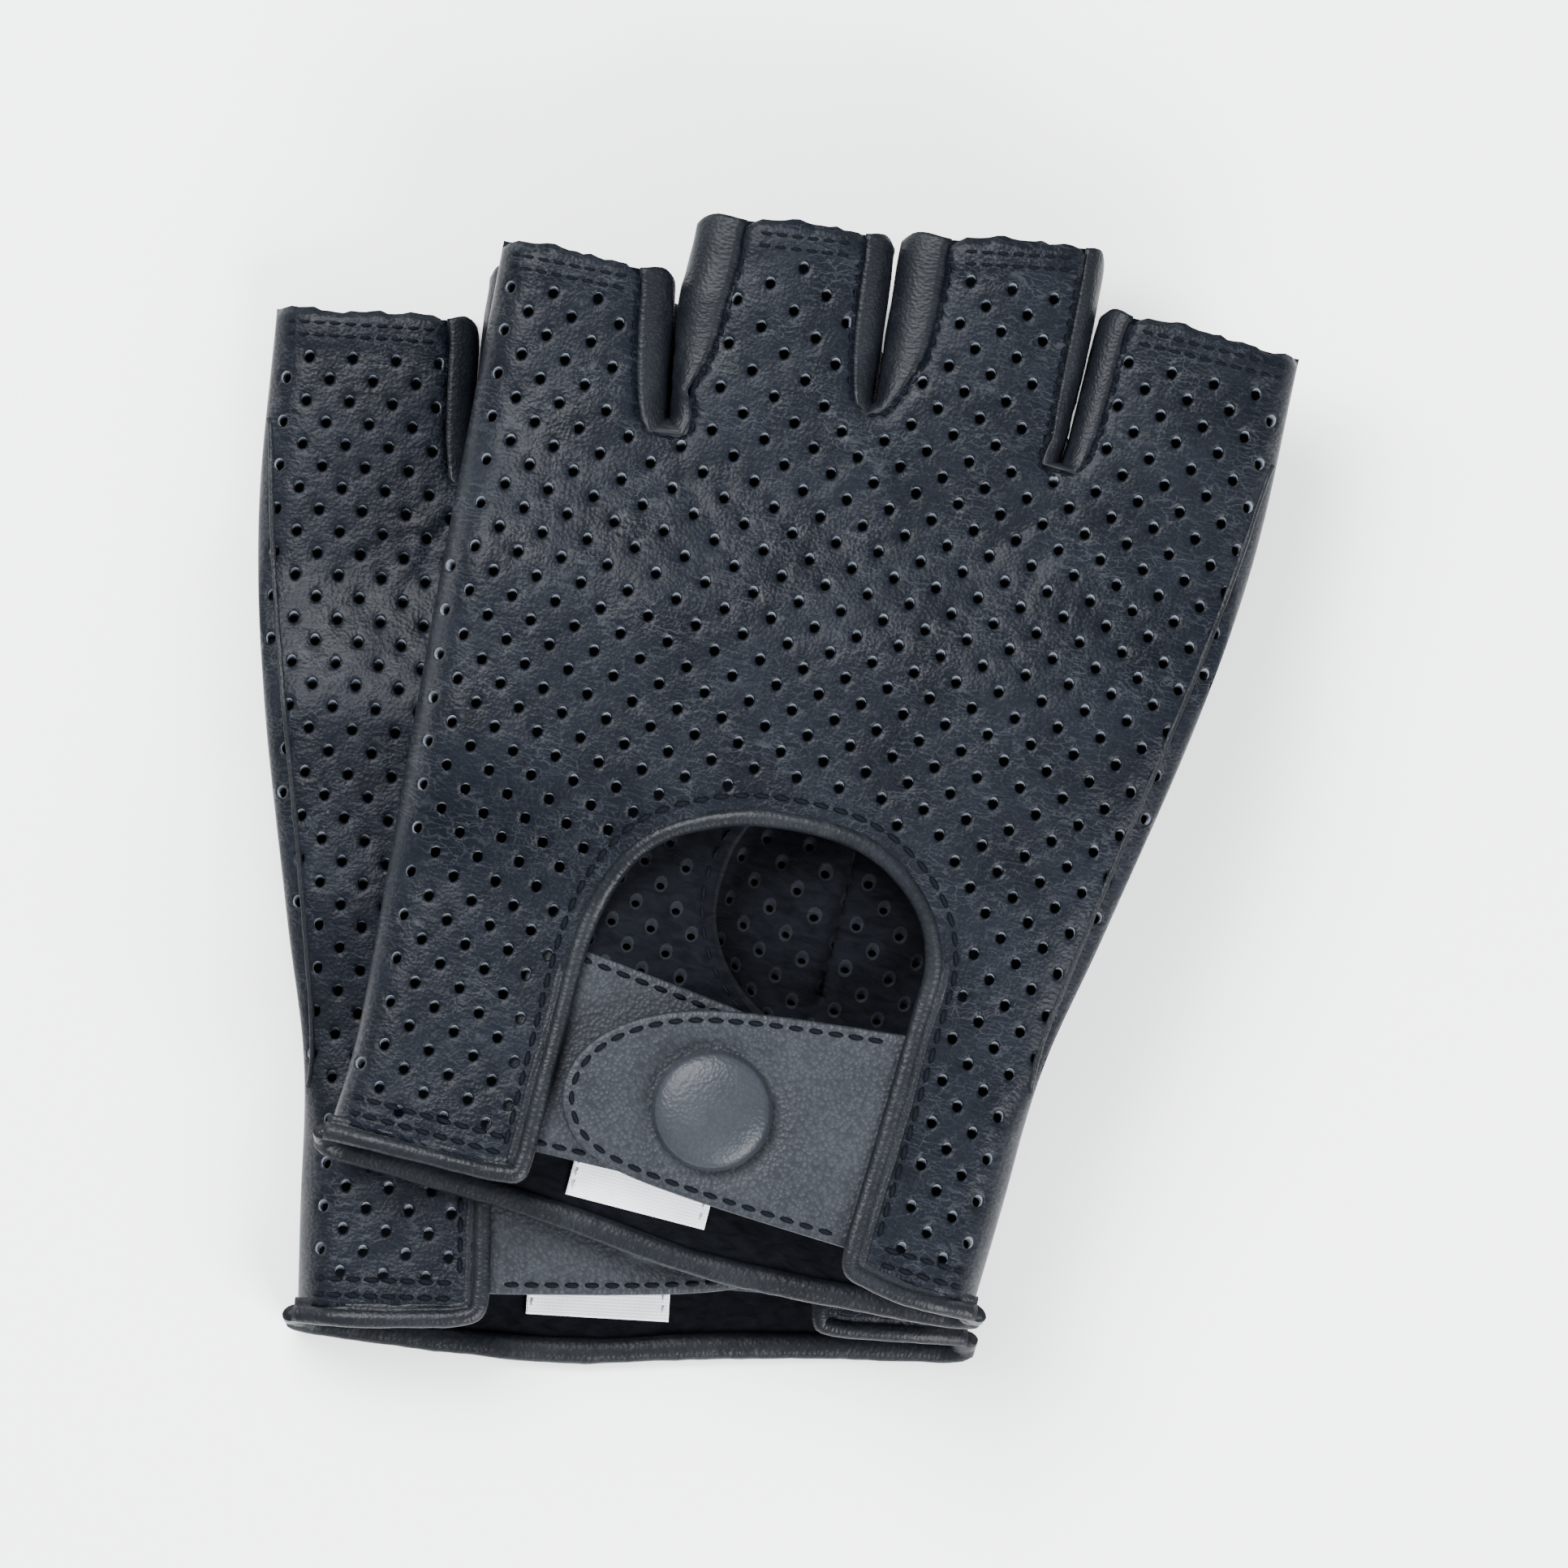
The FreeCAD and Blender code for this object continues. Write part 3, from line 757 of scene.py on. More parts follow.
def woven(name):
    """White satin label weave, blank."""
    n = Nodes(name)
    mapping = n.uv()
    across = n.add("ShaderNodeTexWave", bands_direction="X")
    across.inputs["Scale"].default_value = 11.0
    along = n.add("ShaderNodeTexWave", bands_direction="Y")
    along.inputs["Scale"].default_value = 7.0
    n.link(mapping, "Vector", across, "Vector")
    n.link(mapping, "Vector", along, "Vector")
    both = n.add("ShaderNodeMath", operation="MULTIPLY")
    n.link(across, "Fac", both, 0)
    n.link(along, "Fac", both, 1)
    soil = n.noise(mapping, 2.0, 3.0)
    tone = n.ramp(soil, "Fac", [(0.3, srgb(222, 227, 232)), (0.7, srgb(242, 244, 247))])
    weave = n.ramp(both, "Value", [(0.0, 0.80), (0.6, 1.0)])
    mixed = n.multiply(0.7, tone, weave)
    n.tree.links.new(mixed.outputs[2], n.bsdf.inputs["Base Color"])
    n.link(n.bump(both, "Value", 0.6, 0.08), "Normal", n.bsdf, "Normal")
    n.link(n.ramp(soil, "Fac", [(0, 0.5), (1, 0.65)]), "Color", n.bsdf, "Roughness")
    n.bsdf.inputs["Sheen Weight"].default_value = 0.3
    return n.material


def nickel(name):
    """Plated metal of the snap fastener."""
    n = Nodes(name)
    coord = n.add("ShaderNodeTexCoord")
    grainy = n.add("ShaderNodeTexNoise")
    grainy.inputs["Scale"].default_value = 900.0
    grainy.inputs["Detail"].default_value = 3.0
    n.link(coord, "Object", grainy, "Vector")
    tone = n.ramp(grainy, "Fac", [(0.3, srgb(150, 152, 156)), (0.7, srgb(196, 198, 202))])
    n.link(tone, "Color", n.bsdf, "Base Color")
    n.link(n.ramp(grainy, "Fac", [(0.2, 0.24), (0.8, 0.42)]), "Color", n.bsdf, "Roughness")
    n.link(n.bump(grainy, "Fac", 0.2, 0.02), "Normal", n.bsdf, "Normal")
    n.bsdf.inputs["Metallic"].default_value = 1.0
    return n.material


# In each leather below, the fifth number sets both the pebble bumps and the painted pebble shade, and line
# sets the painted highlight along the creases.
BACK_LEATHER = leather("back_leather", (0.0016, 0.0024, 0.0044, 1), (0.0032, 0.0044, 0.0076, 1),
                       0.50, 0.36, 0.70, 0.43, 0.088, line=0.013)
PALM_LEATHER = leather("palm_leather", (0.0018, 0.0026, 0.0046, 1), (0.0036, 0.0048, 0.0080, 1),
                       0.50, 0.34, 0.55, 0.47, 0.082, line=0.012)
STALL_LEATHER = leather("fourchette_leather", (0.0030, 0.0037, 0.0053, 1), (0.0052, 0.0063, 0.0085, 1),
                        0.48, 0.32, 0.28, 0.43, 0.105, line=0.009, stretch=0.4)
BINDING_LEATHER = leather("binding_leather", (0.0038, 0.0047, 0.0064, 1), (0.0064, 0.0076, 0.0100, 1),
                          0.50, 0.30, 0.28, 0.41, 0.125, line=0.008, stretch=0.5)
STRAP_LEATHER = leather("strap_leather", (0.0125, 0.0142, 0.0178, 1), (0.0170, 0.0192, 0.0234, 1),
                        0.54, 0.62, 0.16, 0.44, 0.130, line=0.012)
CAP_LEATHER = leather("cap_leather", (0.0150, 0.0170, 0.0210, 1), (0.0200, 0.0226, 0.0272, 1),
                      0.50, 0.22, 0.07, 0.38, 0.150, line=0.006)
SUEDE = suede("suede_inside", (0.0010, 0.0013, 0.0021, 1), (0.0040, 0.0046, 0.0064, 1))
SUEDE_RING = suede("suede_hole_ring", (0.0040, 0.0047, 0.0062, 1), (0.0105, 0.0118, 0.0148, 1))
CUT_EDGE = suede("cut_edge", (0.009, 0.011, 0.015, 1), (0.022, 0.026, 0.032, 1))
STRAP_EDGE = suede("strap_cut_edge", (0.022, 0.030, 0.033, 1), (0.050, 0.062, 0.066, 1))
# Hole walls and cut rim of the back: raw cut leather is paler than the dyed face, and this colour is made
# paler still as a painted highlight so each hole shows a light crescent.
HOLE_WALL = suede("punched_hole_wall", (0.050, 0.058, 0.072, 1), (0.135, 0.150, 0.175, 1))
THREAD = thread("black_thread", (0.0020, 0.0028, 0.0050, 1))
LABEL_THREAD = thread("label_thread", (0.72, 0.74, 0.77, 1))
LABEL = woven("woven_label")
NICKEL = nickel("nickel_plate")


# --------------------------------------------------------------- glove pieces

def rolled(points, hand):
    """The closure as it lies when the glove is rolled sideways."""
    p = np.array(points, float)
    p[:, 0] += hand["roll"]
    return p


def opening_line(hand):
    return smooth_line(rolled(OPENING, hand), 0.8)


def back_loop(hand):
    """Outline of the back leather in plan, round under its bindings."""
    line = opening_line(hand)
    hole = untangle(offset(line, -1.2), line, 1.2, 0.08)[::-1]
    index = INDEX[::-1]
    parts = [PINKY[PINKY[:, 1] > 2.2], *STRIP_EDGES, index[index[:, 1] > 0.4], hole[hole[:, 1] > 1.6]]
    return dense_loop(np.vstack(parts), 1.0)


def dense_loop(loop, step):
    """The loop with no side longer than about the step and no side next to nothing."""
    out = []
    for a, b in zip(loop, np.roll(loop, -1, axis=0)):
        n = max(1, int(np.linalg.norm(b - a) / step + 0.5))
        for k in range(n):
            out.append(a + (b - a) * k / n)
    out = np.array(out)
    keep = np.linalg.norm(out - np.roll(out, 1, axis=0), axis=1) > 0.12
    return out[keep]


def side_rings():
    """Lines beside both side seams, close enough together to round the leather over them."""
    return [line for d in (0.12, 0.4, 0.9, 1.6, 2.5) for line in (offset(PINKY, d), offset(INDEX, -d))]


def hem_lines():
    """Lines across the four fingertips, from seam to seam, as laid on the back."""
    ends = [PINKY[-1], STRIP_EDGES[0][0], STRIP_EDGES[0][-1], STRIP_EDGES[1][0],
            STRIP_EDGES[1][-1], STRIP_EDGES[2][0], STRIP_EDGES[2][-1], INDEX[-1]]
    return [np.array(ends[i:i + 2]) for i in range(0, 8, 2)]


def away_from(points, lines, gap):
    keep = np.ones(len(points), bool)
    for line in lines:
        keep &= distance_to(points, line) > gap
    return points[keep]


def ragged_hems(verts, seed):
    """The plan with its four fingertip hems cut by hand, and each point's distance from a hem."""
    hem = np.full(len(verts), 99.0)
    for start, end in hem_lines():
        away = distance_to(verts, np.array([start, end]))
        hem = np.minimum(hem, away)
        length = np.linalg.norm(end - start)
        along = (end - start) / length
        at = (verts - start) @ along
        rag = 0.55 * value_noise(np.column_stack([at, at * 0]), 2.4, seed)
        rag += 0.25 * value_noise(np.column_stack([at, at * 0]), 0.9, seed + 1) + 0.25
        rag -= 0.75 * np.exp(-(at / 1.1) ** 2) + 0.75 * np.exp(-((length - at) / 1.1) ** 2)
        verts = verts + (rag * (1 - ease(0.0, 1.3, away)))[:, None] * np.array([-along[1], along[0]])
    return verts, hem


HEM_CLEAR = 4.4         # holes stop this far from the fingertip hems
WRIST_HEMS = [np.array([[-46.0, 1.2], [-18.0, 1.2]]), np.array([[28.0, -1.0], [46.0, -1.3]])]
BINDING_CLEAR = 4.9     # and this far from the bound edges


def back_panel(side, hand):
    loop = back_loop(hand)
    holes = lattice(loop, 0.0, 0.35, hand["seed"])
    holes = away_from(holes, [closed_line(loop)], 1.15)
    holes = away_from(holes, hem_lines(), HEM_CLEAR)
    holes = away_from(holes, [opening_line(hand)] + WRIST_HEMS, BINDING_CLEAR)
    verts, tris, gap = punched_sheet(loop, holes, 1.25, 12, side_rings())
    z = back_surface(verts, hand, STRIP_EDGES)
    verts, hem = ragged_hems(verts, hand["seed"] + 7)
    z = z + 0.22 * (1 - ease(3.9, 4.5, hem)) - 0.35 * (1 - ease(0.0, 0.7, hem))
    z = z + punch(gap)[1]
    solid, faces, index = thicken(np.column_stack([verts, z]), tris, LEATHER, gap)
    obj = make(side + "_back_panel_leather", hand, solid, faces,
               [BACK_LEATHER, SUEDE, HOLE_WALL, SUEDE], index)
    finish_piece(obj, side, "glove", "back_panel")


def finish_piece(obj, side, body, node=None):
    """Tie a piece to its body, and hide the plain solid it stands for when one is named."""
    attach(obj, side + "_" + body)
    if node:
        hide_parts(side + "_" + node)


def palm_loop():
    hem = smooth_line(PALM_HEM, 1.0)[::-1]
    index = INDEX[::-1]
    parts = [PINKY[PINKY[:, 1] > 1.4], *STRIP_EDGES, index[index[:, 1] > 0.2],
             np.column_stack([hem[:, 0], hem[:, 1] + 1.2])]
    return dense_loop(np.vstack(parts), 1.0)


def thumb_eye(grow, sides=84):
    """Outline of the hole in the palm that the thumb is sewn to."""
    u, v, half_u, half_v = THUMB_EYE
    a = np.arange(sides) * 2 * math.pi / sides
    return np.stack([u + (half_u + grow) * np.cos(a), v + (half_v + grow) * np.sin(a)], axis=1)


def palm_panel(side, hand):
    loop = palm_loop()
    eye = thumb_eye(0.0)
    holes = lattice(loop, 0.5 * PITCH_U, 0.35, hand["seed"])
    holes = away_from(holes, [closed_line(loop)], 1.3)
    holes = away_from(holes, hem_lines(), HEM_CLEAR)
    holes = away_from(holes, [closed_line(eye)], 2.2)
    holes = holes[~inside(holes, eye) & (holes[:, 1] > 13.0)]
    verts, tris, gap = punched_sheet(loop, holes, 1.6, 10, side_rings(), [eye])
    low = np.column_stack([verts, palm_surface(verts, hand)])
    solid, faces, index = thicken(low, tris[:, ::-1], LEATHER, gap)
    obj = make(side + "_palm_panel_leather", hand, solid, faces,
               [PALM_LEATHER, SUEDE, SUEDE_RING, SUEDE_RING], index)
    finish_piece(obj, side, "glove", "palm_panel")


def fourchette(side, hand, k, name):
    """The strip round the inside of gap k, from the back leather in and down to the palm."""
    line = resample(GAP_LINES[k], 0.7)
    reach = strip_width(k, line)
    run = np.linspace(0, 1, len(line))
    out = normals_right(line)
    soft = np.array([averaged(out[:, axis], 4) for axis in (0, 1)]).T
    soft /= np.linalg.norm(soft, axis=1)[:, None]
    crotch = np.exp(-((run - 0.5) / 0.16) ** 2)
    seam = line + soft * reach[:, None]
    top = back_surface(seam, hand, STRIP_EDGES) - 0.05
    low = palm_surface(seam, hand)
    m = 22
    run_mm = 0.7 * np.minimum(np.arange(len(line)), np.arange(len(line))[::-1])
    ends = (1 - ease(0.0, 3.2, run_mm)) * np.where(run < 0.5, -1.0, 1.0)
    heading = np.gradient(line, axis=0)
    heading /= np.linalg.norm(heading, axis=1)[:, None]
    grid = np.zeros((len(line), m, 3))
    for j in range(m):
        a = math.pi * j / (m - 1)
        inward = 1 - math.sin(a) ** 0.85
        lift = math.copysign(abs(math.cos(a)) ** 0.85, math.cos(a))
        d = reach * inward
        plan = line + soft * d[:, None]
        z = 0.5 * (top + low) + 0.5 * (top - low) * lift
        flat = np.column_stack([run * 60.0, np.full(len(line), 2.2 * j)])
        wrinkle = 0.16 * value_noise(flat, 4.0, hand["seed"] + 31 + k)
        wrinkle += 0.30 * crotch * value_noise(flat * [1.0, 0.25], 1.6, hand["seed"] + 41 + k)
        plan = plan + soft * 0.6 * wrinkle[:, None] * math.sin(a)
        plan = plan - ends[:, None] * heading * (1.9 * math.sin(a) ** 3 - 0.5 * math.sin(2 * a) ** 2)
        grid[:, j] = np.column_stack([plan, z + 0.10 * wrinkle])
    verts = grid.reshape(-1, 3)
    faces = [(a, a + m, a + m + 1, a + 1)
             for i in range(len(line) - 1) for a in range(i * m, i * m + m - 1)]
    uv = np.stack([np.repeat(run * 60.0, m), np.tile(np.linspace(0, 15, m), len(line))], axis=1)
    if vertex_normals(verts, faces)[(len(line) // 4) * m][2] < 0:
        faces = [tuple(reversed(f)) for f in faces]
    solid, faces, index = thicken(verts, faces, FOURCHETTE_THICK)
    obj = make("%s_fourchette_%s_leather" % (side, name), hand, solid, faces,
               [STALL_LEATHER, SUEDE, CUT_EDGE], index, np.vstack([uv, uv]))
    finish_piece(obj, side, "glove", "fourchette_" + name)


# Section of the opening binding: a roll with a lower turned edge beside it.
BINDING = [(0.55, -1.45), (0.12, -0.95), (-0.08, -0.30), (0.02, 0.22), (0.45, 0.62), (1.10, 0.82),
           (1.75, 0.70), (2.20, 0.32), (2.42, -0.04), (2.66, -0.02), (3.05, 0.04), (3.35, -0.08),
           (3.50, -0.30), (2.60, -1.00), (1.50, -1.40)]


def bound_edge(path, seed, section):
    """Rolled binding along an edge path, uneven as hand-turned leather is."""
    n = len(path)
    rows = np.tile(np.array(section, float), (n, 1, 1))
    run = np.arange(n, dtype=float)
    fat = 1 + 0.05 * value_noise(np.column_stack([run, np.zeros(n)]), 6.0, seed)
    rows *= fat[:, None, None]
    ripple = value_noise(np.column_stack([np.repeat(run, len(section)),
                                          np.tile(np.arange(len(section)) * 0.8, n)]), 2.2, seed + 1)
    rows += 0.05 * ripple.reshape(n, len(section), 1)
    return sweep(path, rows)


def tab_path(hand):
    """Edge path from one side seam along a tab, round the opening and out along the other."""
    hole = opening_line(hand)
    start = np.array([[-46.2, 0.4], [-40.0, 0.5], [-30.0, 0.6], [hole[0, 0] - 3.2, 0.6]])
    end = np.array([[hole[-1, 0] + 3.6, -1.0], [36.0, -1.7], [41.0, -1.7], [46.2, -1.5]])
    line = np.vstack([start, hole, end])
    return smooth_line(resample(line, 1.6), 0.8)


WRIST_ROLL = [(1.35 * math.cos(a) * (1.15 if math.cos(a) > 0 else 1.5), 1.05 * math.sin(a))
              for a in np.arange(14) * 2 * math.pi / 14]
WRIST_ROLL_Z = 1.15     # height of the roll along the palm


def opening_binding(side, hand):
    flat = tab_path(hand)
    z = back_surface(np.column_stack([np.clip(flat[:, 0], -44.5, 44.8), np.maximum(flat[:, 1], 2.5)]), hand)
    path = np.column_stack([flat, averaged(z, 3)])[::-1]
    verts, faces, uv = bound_edge(path, hand["seed"] + 60, BINDING)
    obj = make(side + "_opening_binding_leather", hand, verts, faces, [BINDING_LEATHER], uv=uv)
    finish_piece(obj, side, "glove", "opening_binding")


def wrist_binding(side, hand):
    hem = smooth_line(PALM_HEM, 0.8)
    rise_a = back_surface(np.array([[-44.6, 3.0]]), hand)[0] - 0.6
    rise_b = back_surface(np.array([[44.9, 3.0]]), hand)[0] - 0.6
    left = np.linspace((-46.3, 1.5, rise_a), (-45.7, -0.5, 1.3), 8)
    right = np.linspace((45.7, -1.5, 1.3), (46.3, -0.3, rise_b), 8)
    low = np.column_stack([hem, np.full(len(hem), WRIST_ROLL_Z)])
    path = smooth_line(np.vstack([left[:-1], low[2:-2], right[1:]])[::2], 0.8)
    verts, faces, uv = bound_edge(path, hand["seed"] + 70, WRIST_ROLL)
    verts[:, 2] = np.maximum(verts[:, 2], GROUND)
    obj = make(side + "_wrist_binding_leather", hand, verts, faces, [BINDING_LEATHER], uv=uv)
    finish_piece(obj, side, "glove", "wrist_binding")


def strap_sheet(name, side, hand, outline, low, thick, materials, crown, bend, body, node, fold):
    """One strap layer with a soft rounded edge and a closed cut edge. Returns its outline."""
    loop = dense_loop(resample(chaikin(rolled(outline, hand), 3), 0.8), 0.8)
    edge = closed_line(loop)
    extra = [hex_grid(loop, 1.15)] + [inset(loop, d) for d in (0.18, 0.45, 0.8)]
    extra = [points[inside(points, loop)] for points in extra]
    extra[0] = extra[0][distance_to(extra[0], edge) > 1.1]
    verts, tris = triangulate(loop, np.vstack(extra))
    d = distance_to(verts, edge)
    z = low + thick - crown * (1 - roll_off(d, 0.9)) + bend(verts)
    z = z + 0.07 * value_noise(verts, 5.0, hand["seed"] + 80) * ease(0.2, 1.2, d)
    solid, faces, index = thicken(np.column_stack([verts, z]), tris, thick * 0.96)
    obj = make(side + "_" + name, hand, solid, faces, materials, index)
    if fold is None:
        finish_piece(obj, side, body, node)
    else:
        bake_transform(obj)
        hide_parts(side + "_" + node)
    return loop


def snap_dimple(hand):
    """The snap strap dips in a ring round its cap."""
    centre = np.array([SNAP[0] + hand["roll"], SNAP[1]])

    def bend(points):
        r = np.linalg.norm(points - centre, axis=1)
        return -0.35 * np.exp(-((r - 8.6) / 1.5) ** 2)
    return bend


def level(points):
    return np.zeros(len(points))


def fold_line(hand):
    """Two points across the snap strap; strap_sheet only looks at whether they are given."""
    return [tuple(world(np.array([[u + hand["roll"], 19.0, 12.5]]), hand)[0]) for u in (FOLD_FROM, FOLD_TO)]


def straps(side, hand):
    """Each strap is an outer leather, a lining and a row of stitches that stops at the tab."""
    loops = {}
    for strap, outline, low, crown, bend, body, fold in (
            ("snap_strap", FLAP, FLAP_Z, 0.42, snap_dimple(hand), "snap_strap", fold_line(hand)),
            ("under_strap", UNDER_STRAP, UNDER_Z, 0.40, level, "glove", None)):
        loops[strap] = strap_sheet(strap + "_leather", side, hand, outline, low + LEATHER, LEATHER,
                                   [STRAP_LEATHER, SUEDE, STRAP_EDGE], crown, bend, body,
                                   strap + "_outer", fold)
        strap_sheet(strap + "_lining_leather", side, hand, outline, low, STRAP_LINING,
                    [SUEDE, SUEDE, STRAP_EDGE], 0.10, level, body, strap + "_lining", fold)
    for strap, low, keep, body in (
            ("snap_strap", FLAP_Z, lambda p: p[:, 0] < 26.2 + hand["roll"], "snap_strap"),
            ("under_strap", UNDER_Z, lambda p: p[:, 0] > -23.0 + hand["roll"], "glove")):
        row = inset(loops[strap], STRAP_STITCH_INSET)
        row = row[distance_to(row, closed_line(loops[strap])) > STRAP_STITCH_INSET - 0.12]
        row = np.roll(row, -int(np.argmax(~keep(row))), axis=0)
        row = row[keep(row)]
        path = resample(np.column_stack([row, np.full(len(row), low + STRAP_THICK - 0.06)]), 0.4)
        verts, faces = stitch_run(path)
        obj = make(side + "_" + strap + "_stitches", hand, verts, faces, [THREAD])
        finish_piece(obj, side, body)


def lathe(profile, centre, low, sides=72):
    """Profile of radius and height turned about an upright axis, closed at both ends."""
    profile = np.array(profile, float)
    a = np.arange(sides) * 2 * math.pi / sides
    verts = [np.stack([centre[0] + r * np.cos(a), centre[1] + r * np.sin(a), np.full(sides, low + z)], 1)
             for r, z in profile]
    faces = []
    for i in range(len(profile) - 1):
        for j in range(sides):
            k = (j + 1) % sides
            faces.append((i * sides + j, i * sides + k, (i + 1) * sides + k, (i + 1) * sides + j))
    verts = np.vstack(verts)
    faces.append(tuple(range(sides - 1, -1, -1)))
    faces.append(tuple((len(profile) - 1) * sides + j for j in range(sides)))
    return verts, faces


def snap_cap(side, hand):
    centre = (SNAP[0] + hand["roll"], SNAP[1])
    top = FLAP_Z + STRAP_THICK
    rim = [(1.4, -1.7), (1.4, -0.4), (7.7, -0.35), (8.05, -0.05), (8.28, 0.35), (8.33, 0.8), (8.22, 1.25),
           (7.95, 1.65)]
    ball = [(7.95 * math.sin(a), 1.65 + 1.95 * (math.cos(a) - math.cos(math.pi / 2)))
            for a in np.linspace(math.pi / 2, 0.02, 16)[1:]]
    verts, faces = lathe(rim + ball, centre, top)
    wave = 0.035 * value_noise(verts, 3.5, hand["seed"] + 90)
    verts[:, 2] += wave * (verts[:, 2] > top)
    obj = make(side + "_snap_cap_leather", hand, verts, faces, [CAP_LEATHER])
    finish_piece(obj, side, "snap_strap", "snap_cap")


def snap_metal(side):
    """The turned metal parts keep their solids and get a plated surface."""
    for node in ("snap_socket", "snap_stud", "snap_post"):
        obj = bpy.data.objects[side + "_" + node]
        obj.data.materials.clear()
        obj.data.materials.append(NICKEL)


def label(side, hand):
    """Blank woven label laid on the inside of the palm, sewn down at both ends."""
    u0, v0, u1, v1 = LABEL_BOX
    nu, nv = 60, 32
    uu, vv = np.meshgrid(np.linspace(u0, u1, nu), np.linspace(v0, v1, nv))
    plan = np.column_stack([uu.ravel() - hand["roll"], vv.ravel()])
    edge = 0.05 * value_noise(plan, 3.0, hand["seed"] + 95)
    z = 1.55 + 0.18 * value_noise(plan, 6.0, hand["seed"] + 96) + edge
    faces = [(a, a + 1, a + nu + 1, a + nu) for j in range(nv - 1) for a in range(j * nu, j * nu + nu - 1)]
    solid, faces, index = thicken(np.column_stack([plan, z]), faces, LABEL_THICK)
    obj = make(side + "_woven_label_cloth", hand, solid, faces, [LABEL, LABEL, LABEL], index)
    finish_piece(obj, side, "glove", "woven_label")
    rows = []
    for u in (u0 + 0.8 - hand["roll"], u1 - 0.8 - hand["roll"]):
        row = resample(np.array([[u, v0 + 0.4, 1.62], [u, v1 - 0.4, 1.62]]), 0.3)
        rows.append(stitch_run(row, 1.7, 1.2, 0.14, 0.0, 0.08))
    verts, faces = join(rows)
    obj = make(side + "_label_stitches", hand, verts, faces, [LABEL_THREAD])
    finish_piece(obj, side, "glove")


def room_to_swing(points):
    """Least height of the palm over each point while the thumb swings out."""
    least = np.full(len(points), 99.0)
    for degrees in range(0, THUMB_SWING + 1, 5):
        a = -math.radians(degrees)
        x, y = points[:, 0] - THUMB_AT[0], points[:, 1] - THUMB_AT[1]
        u = THUMB_AT[0] + x * math.cos(a) - y * math.sin(a)
        v = THUMB_AT[1] + x * math.sin(a) + y * math.cos(a)
        least = np.minimum(least, np.where(v < 95.0, palm_height(u, v), 99.0))
    return least


def thumb_outline(along, right):
    """Round its eye in the palm and straight out to the open tip."""
    eye = np.array(THUMB_EYE)
    tip = np.array(THUMB_AT) + THUMB_LONG * along
    turns = np.linspace(0.5 * math.pi + 0.12, 1.5 * math.pi - 0.12, 44)
    round_eye = [eye[:2] + (eye[2:] + 1.8) * (math.cos(a) * along + math.sin(a) * right) for a in turns]
    return np.array([tip + THUMB_HALF * right] + round_eye + [tip - THUMB_HALF * right])


def thumb_upper_height(verts, z, r):
    z = np.minimum(z + 0.5 * (1 - ease(1.0, 1.15, r)), room_to_swing(verts) - 0.3)
    return np.maximum(z, THUMB_MIDDLE - 1.6)


def thumb_lower_height(verts, z, r, d, seed):
    """Puffed up under the eye, with one loose fold across it."""
    fold = verts[:, 0] - 14.6 + 0.4 * value_noise(verts, 6.0, seed + 51)
    near = 1 - ease(0.5, 0.95, r)
    puff = 4.6 * (1 - ease(0.25, 0.98, r))
    z = z + puff - 2.6 * np.exp(-(fold / 1.1) ** 2) * near - 1.5 * ease(0.0, 2.0, fold) * near
    z = z + 0.35 * value_noise(verts, 8.0, seed + 52) * ease(0, 5, d)
    return np.maximum(z, 0.5)


def thumb(side, hand):
    """Flattened thumb tube: an upper and a lower sheet rolled together at the sides."""
    along = np.array([math.cos(THUMB_TURN), math.sin(THUMB_TURN)])
    outline = thumb_outline(along, np.array([along[1], -along[0]]))
    loop = dense_loop(resample(outline, 1.0), 1.0)
    loop = loop[np.linalg.norm(loop - np.roll(loop, 1, axis=0), axis=1) > 0.2]
    flank = resample(outline, 0.8)
    rings = [offset(flank, sign * d) for sign in (-1, 1) for d in (0.15, 0.5, 1.0, 1.8)]
    hole = thumb_eye(0.0)
    for part, islands, sign in (("upper", [hole], 1.0), ("lower", [], -1.0)):
        holes = lattice(loop, 0.2 * PITCH_U, 0.3, hand["seed"] + 50)
        holes = away_from(holes, [closed_line(loop)], 1.4)
        if islands:
            holes = away_from(holes, [closed_line(hole)], 1.6)
            holes = holes[~inside(holes, hole)]
        holes = holes[(holes - np.array(THUMB_AT)) @ along < THUMB_LONG - 4.5]
        verts, tris, gap = punched_sheet(loop, holes, 1.6, 10, rings, islands)
        d = distance_to(verts, flank)
        r = np.linalg.norm((verts - THUMB_EYE[:2]) / THUMB_EYE[2:], axis=1)
        z = THUMB_MIDDLE + sign * 3.3 * roll_off(d, 4.5)
        if sign > 0:
            z = thumb_upper_height(verts, z, r)
        else:
            z = thumb_lower_height(verts, z, r, d, hand["seed"])
            tris = tris[:, ::-1]
        solid, faces, index = thicken(np.column_stack([verts, z]), tris, LEATHER, gap)
        obj = make("%s_thumb_stall_%s" % (side, part), hand, solid, faces,
                   [PALM_LEATHER, SUEDE, SUEDE_RING, SUEDE_RING], index)
        finish_piece(obj, side, "thumb", "thumb_stall")
    rim = thumb_eye(1.3, 140)
    rim = np.column_stack([rim, palm_surface(rim, hand) + LEATHER])
    verts, faces = stitch_run(closed_line(rim)[::-1], 2.8, 2.0, 0.2, 0.02, 0.16)
    obj = make(side + "_thumb_seam_stitches", hand, verts, faces, [THREAD])
    finish_piece(obj, side, "glove")


